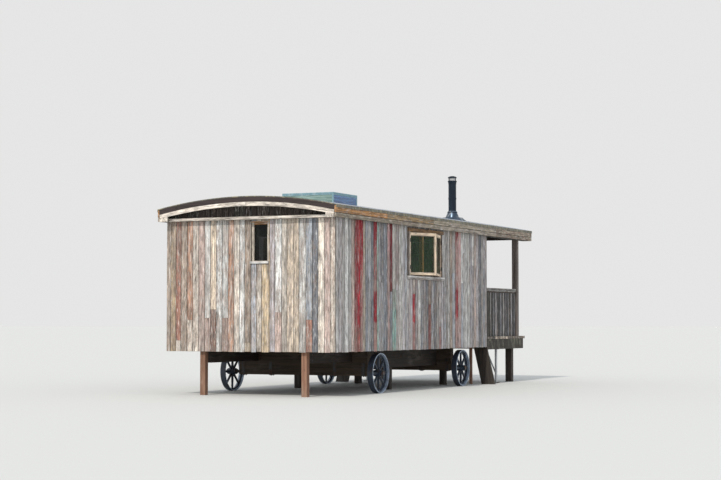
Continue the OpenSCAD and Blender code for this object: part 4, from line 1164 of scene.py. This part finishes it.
class HUT_OT_porch(bpy.types.Operator):
    """Porch: deck and its frame, posts, beams, balustrades and the props under it."""
    bl_idname = "hut.porch"
    bl_label = "Porch"
    bl_options = {"REGISTER", "UNDO"}

    def execute(self, context):
        scene = context.scene
        deck, gap = Piece("porch_deck_boards"), 0.005
        low, high, size = measure("porch_deck")
        count = round(size.x / (scene.hut_boards.deck_width + gap))
        pitch = size.x / count
        for i in range(count):
            in_0, in_1 = deck.dice.uniform(0, 0.004), deck.dice.uniform(0, 0.004)
            deck.board((low.x + i * pitch + gap / 2, low.y + in_0, low.z), Y * (size.y - in_0 - in_1),
                       X * (pitch - gap), Z * size.z,
                       deck.dice.choice(["deck", "brown", "deck", "stained", "tan"]), 0.005, True)
        deck.made(slot="deck_timber", stands_for=["porch_deck"])

        base = Piece("porch_frame_timbers", "reclaimed_boards", "stained_rim")
        low, high, size = measure("porch_frame")
        rim, joist, joist_h, joist_pitch, bearer = 0.050, 0.060, 0.150, 0.705, 0.084
        between = Y * (size.y - 2 * rim)
        base.look = 1
        for y, out in ((low.y + rim, -Y), (high.y - rim, Y)):
            base.board((low.x, y, low.z), X * size.x, Z * size.z, out * rim, "stained", 0.004)
        base.board((high.x - rim, low.y + rim, low.z), between, Z * size.z, X * rim, "stained", 0.004)
        base.look = 0
        for k in range(-2, 3):
            base.board((low.x, k * joist_pitch - joist / 2, high.z - joist_h), X * (size.x - rim), Y * joist,
                       Z * joist_h, "umber", 0.003, True)
        bearer_x = sum(corner.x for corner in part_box("tube_props")) / 2
        base.board((bearer_x - bearer / 2, low.y + rim, low.z), between, X * bearer, Z * (size.z - joist_h),
                   "umber", 0.003, True)
        base.made(slot="dark_timber", stands_for=["porch_frame"])

        for side, node in ((-1, "balustrade_near"), (1, "balustrade_far")):
            self.balustrade(node, side)
        for node, look, edge in (("corner_posts", "porch_post", 0.006), ("under_posts", "dark_z", 0.006),
                                 ("porch_beams", "dark_x", 0.004), ("raking_boards", "dark_z", 0.004)):
            dress(node, look, edge)
        dress("tube_props", "galvanised", smooth=True)

        bolts, post = Piece("porch_bolts", "black_iron"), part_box("corner_posts")
        post_face, rim_face = post[1].y - 0.001, high.y - 0.0002
        post_levels, rim_levels = (1.02, 1.80, 2.80), (0.72, 0.82)
        plates = ((1.36, 0.662, 0.11, 0.10, 0.008), (1.35, 0.0, 0.12, 0.12, 0.010))
        for side in (-1, 1):
            for z in post_levels:
                for dx in (0.035, 0.080):
                    bolts.fixing("post_bolt", (post[0].x + dx, side * post_face, z), Y * side)
            for x in (low.x + 0.15, bearer_x, post[0].x + 0.03, post[0].x + 0.09):
                for z in rim_levels:
                    bolts.fixing("rim_bolt", (x, side * rim_face, z), Y * side)
            for y, z, wide, deep, thick in plates:
                bolts.board((bearer_x - wide / 2, side * y, z), Y * side * deep, X * wide, Z * thick,
                            arris=0.001)
        bolts.made(slot="iron")
        return {"FINISHED"}

    def balustrade(self, node, side):
        """One balustrade: handrail, a dark batten under it as its painted shadow, close boards, pale waney
        strips over them and inner rails.
        """
        low, high, size = measure(node)
        rail = Piece(f"{node}_boards")
        middle, count, hand_h, out = (low.y + high.y) / 2, 14, 0.060, Y * side
        pitch, top, length = size.x / count, high.z - hand_h, X * size.x
        rail.board((low.x, low.y, top), length, Y * size.y, Z * hand_h, "pale", 0.008, True)
        # Dark umber batten under the handrail: painted shadow of the handrail.
        rail.board((low.x, middle + side * 0.0145, top - 0.030), length, Z * 0.028, out * 0.009, "umber",
                   0.002)
        for i in range(count):
            rail.board((low.x + i * pitch + 0.002, middle - side * 0.005, low.z + 0.002),
                       Z * (top - low.z - 0.001), X * (pitch - 0.004), out * 0.020,
                       rail.dice.choice(["rail_dark", "rail_dark", "stained", "rail_dark"]), 0.004)
        for share, width, paint in WANEY_EDGES:
            x, turn = low.x + share * size.x, rail.dice.uniform(0, tau)
            worn, bends = PAINTS[paint][1], 20

            def waney(p, x=x, turn=turn):
                sway = 0.005 * sin(7 * p.z + turn) + 0.003 * sin(17 * p.z + 3 * turn)
                return p + X * (sway if p.x > x else sway * 0.4)

            wear = [(k / bends, worn) for k in range(bends + 1)]
            rail.board((x, middle + side * 0.015, low.z + 0.004), Z * (top - low.z - 0.036), X * width,
                       out * 0.006, paint, 0.002, trim=waney, wear=wear)
        for z in (low.z + 0.12, top - 0.10):
            rail.board((low.x, middle - side * 0.005, z), length, Z * 0.07, out * -0.024, "brown", 0.004)
        rail.made(slot="fascia_grey", stands_for=[node])


class HUT_OT_underframe(bpy.types.Operator):
    """Underframe: posts, rails, axle beds, joists and floor, with their bolts and straps."""
    bl_idname = "hut.underframe"
    bl_label = "Underframe"
    bl_options = {"REGISTER", "UNDO"}

    def execute(self, context):
        for node, look in (("end_posts", "post_red"), ("slim_props", "post_red"), ("rail_posts", "dark_z"),
                           ("chassis_rails", "dark_x"), ("rail_packers", "dark_x"), ("axle_beds", "dark_y"),
                           ("floor_joists", "dark_y")):
            dress(node, look, 0.005)
        dress("floor_deck", "floor_boards")
        iron = Piece("chassis_ironwork", "black_iron")
        rail_face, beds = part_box("chassis_rails")[1].y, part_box("axle_beds")
        strap, plate, strap_h, sole = 0.06, 0.005, 0.235, 0.006
        nut_places, nut_levels = (-4.05, -3.2, -1.6, -0.5, 0.4, 1.75), (0.58, 0.67)
        under = beds[0].z - sole
        for axle in ("axle_1", "axle_2"):
            dress(axle, "black_iron", smooth=True)
            x = sum(corner.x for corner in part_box(axle)) / 2
            half = (beds[1].x - x) if axle == "axle_2" else (x - beds[0].x)
            for side, y in ((-1, 1.16), (-1, 0.62), (1, 1.16), (1, 0.62)):
                foot, across = side * (y - strap / 2), Y * side * strap
                iron.board((x - half - plate, foot, under), X * 2 * (half + plate), across, Z * sole,
                           arris=0.001)
                for way in (-1, 1):
                    iron.board((x + way * half, foot, beds[0].z), Z * strap_h, across, X * way * plate,
                               arris=0.001)
                for dx in (-0.04, 0.04):
                    iron.fixing("bed_nut", (x + dx, side * y, under), -Z)
        for side in (-1, 1):
            for x in nut_places:
                for z in nut_levels:
                    iron.fixing("rail_nut", (x, side * rail_face, z), Y * side)
        iron.made(slot="iron")
        return {"FINISHED"}


class HUT_OT_wheels(bpy.types.Operator):
    """Wheels: cast iron with a worn tyre, hub bolts and spoke bolts."""
    bl_idname = "hut.wheels"
    bl_label = "Wheels"
    bl_options = {"REGISTER", "UNDO"}

    def execute(self, context):
        spokes, hub_r, web, w = 8, 0.046, 0.021, 0.0515
        for node in WHEELS:
            dress(node, "wheel_iron", 0.003, smooth=True)
            low, high, size = measure(node)
            centre = (low + high) / 2
            side, radius = (-1 if centre.y < 0 else 1), size.z / 2
            trim = Piece(f"{node}_ironwork", "black_iron", "tyre_iron")

            def spot(r, a, y):
                return centre + Vector((r * cos(a), side * y, r * sin(a)))

            for a in (tau * k / spokes for k in range(spokes)):
                trim.fixing("hub_nut", spot(hub_r, a + pi / spokes, size.y / 2 - 0.001), Y * side)
                for r in (0.092, 0.255):
                    trim.fixing("spoke_bolt", spot(r, a, web), Y * side)
            trim.look = 1
            tread = [(0.017, -w), (0.002, -w), (0.0002, 0.004 - w), (0.0002, w - 0.004), (0.002, w),
                     (0.017, w)]
            trim.turned(centre, Y, [(radius - inset, y) for inset, y in tread], 96, closed=True)
            trim.made(node, slot="iron")
        return {"FINISHED"}


class HUT_OT_stage(bpy.types.Operator):
    """Stage: pale floor, soft light all round, a main lamp and the camera."""
    bl_idname = "hut.stage"
    bl_label = "Stage"
    bl_options = {"REGISTER", "UNDO"}

    def execute(self, context):
        scene = context.scene
        s = scene.hut_stage
        floor_mesh = bpy.data.meshes.new("studio_floor")
        reach = 400.0
        corners = [(x * reach, y * reach, 0) for x, y in ((-1, -1), (1, -1), (1, 1), (-1, 1))]
        floor_mesh.from_pydata(corners, [], [(0, 1, 2, 3)])
        floor = bpy.data.objects.new("studio_floor", floor_mesh)
        scene.collection.objects.link(floor)
        paper = Finish("studio_paper")
        floor_mesh.materials.append(paper.finished(tuple(s.floor_colour), 0.9))

        world = bpy.data.worlds.new("studio_light")
        scene.world = world
        world.use_nodes = True
        world.node_tree.nodes.clear()
        sky = Nodes(world.node_tree)
        light = sky.node("ShaderNodeBackground", {"Color": (0.90, 0.95, 1.0, 1), "Strength": s.sky})
        seen = sky.node("ShaderNodeBackground", {"Color": (*srgb(0.90, 0.90, 0.90), 1)})
        camera_ray, glossy_ray, clear_ray = (
            sky.node("ShaderNodeLightPath", output=f"Is {kind} Ray")
            for kind in ("Camera", "Glossy", "Transmission"))
        either = camera_ray.highest(glossy_ray).highest(clear_ray)
        picked = sky.node("ShaderNodeMixShader", {0: either, 1: light, 2: seen})
        sky.node("ShaderNodeOutputWorld", {"Surface": picked})

        lamp = bpy.data.lights.new("main_lamp", "SUN")
        lamp.energy, lamp.angle, lamp.color = s.sun, radians(4), (1.0, 0.95, 0.87)
        lamp_object = bpy.data.objects.new("main_lamp", lamp)
        lamp_object.rotation_euler = Vector((0.70, 0.05, -0.70)).to_track_quat("-Z", "Y").to_euler()
        scene.collection.objects.link(lamp_object)

        camera = bpy.data.cameras.new("camera")
        camera.lens, camera.sensor_width, camera.sensor_fit = s.lens, 36.0, "HORIZONTAL"
        camera.clip_end = 1000
        camera_object = bpy.data.objects.new("camera", camera)
        camera_object.location = s.eye
        level = cos(s.pitch)
        ahead = Vector((cos(s.yaw) * level, sin(s.yaw) * level, sin(s.pitch)))
        camera_object.rotation_euler = ahead.to_track_quat("-Z", "Y").to_euler()
        scene.collection.objects.link(camera_object)
        scene.camera = camera_object
        scene.view_settings.view_transform = "Standard"
        return {"FINISHED"}


class HUT_PT_panel(bpy.types.Panel):
    """Lists the hut's pieces."""
    bl_idname = "HUT_PT_panel"
    bl_label = "Shepherds Hut"
    bl_space_type = "VIEW_3D"
    bl_region_type = "UI"
    bl_category = "Hut"

    def draw(self, context):
        for operator in OPERATORS:
            self.layout.operator(operator.bl_idname)
        for name, group in SETTINGS.items():
            box = self.layout.box()
            for key in group.__annotations__:
                box.prop(getattr(context.scene, name), key)


OPERATORS = [
    HUT_OT_walls, HUT_OT_side_windows, HUT_OT_end_window, HUT_OT_door, HUT_OT_roof, HUT_OT_rooflight,
    HUT_OT_flue, HUT_OT_porch, HUT_OT_underframe, HUT_OT_wheels, HUT_OT_stage,
]


def register():
    for group in SETTINGS.values():
        bpy.utils.register_class(group)
    for name, group in SETTINGS.items():
        setattr(bpy.types.Scene, name, PointerProperty(type=group))
    for operator in OPERATORS:
        bpy.utils.register_class(operator)
    bpy.utils.register_class(HUT_PT_panel)


def unregister():
    bpy.utils.unregister_class(HUT_PT_panel)
    for operator in reversed(OPERATORS):
        bpy.utils.unregister_class(operator)
    for name, group in SETTINGS.items():
        delattr(bpy.types.Scene, name)
        bpy.utils.unregister_class(group)


def main():
    register()
    for operator in OPERATORS:
        group, name = operator.bl_idname.split(".")
        getattr(getattr(bpy.ops, group), name)()
    bpy.context.view_layer.update()


if __name__ == "__main__":
    main()
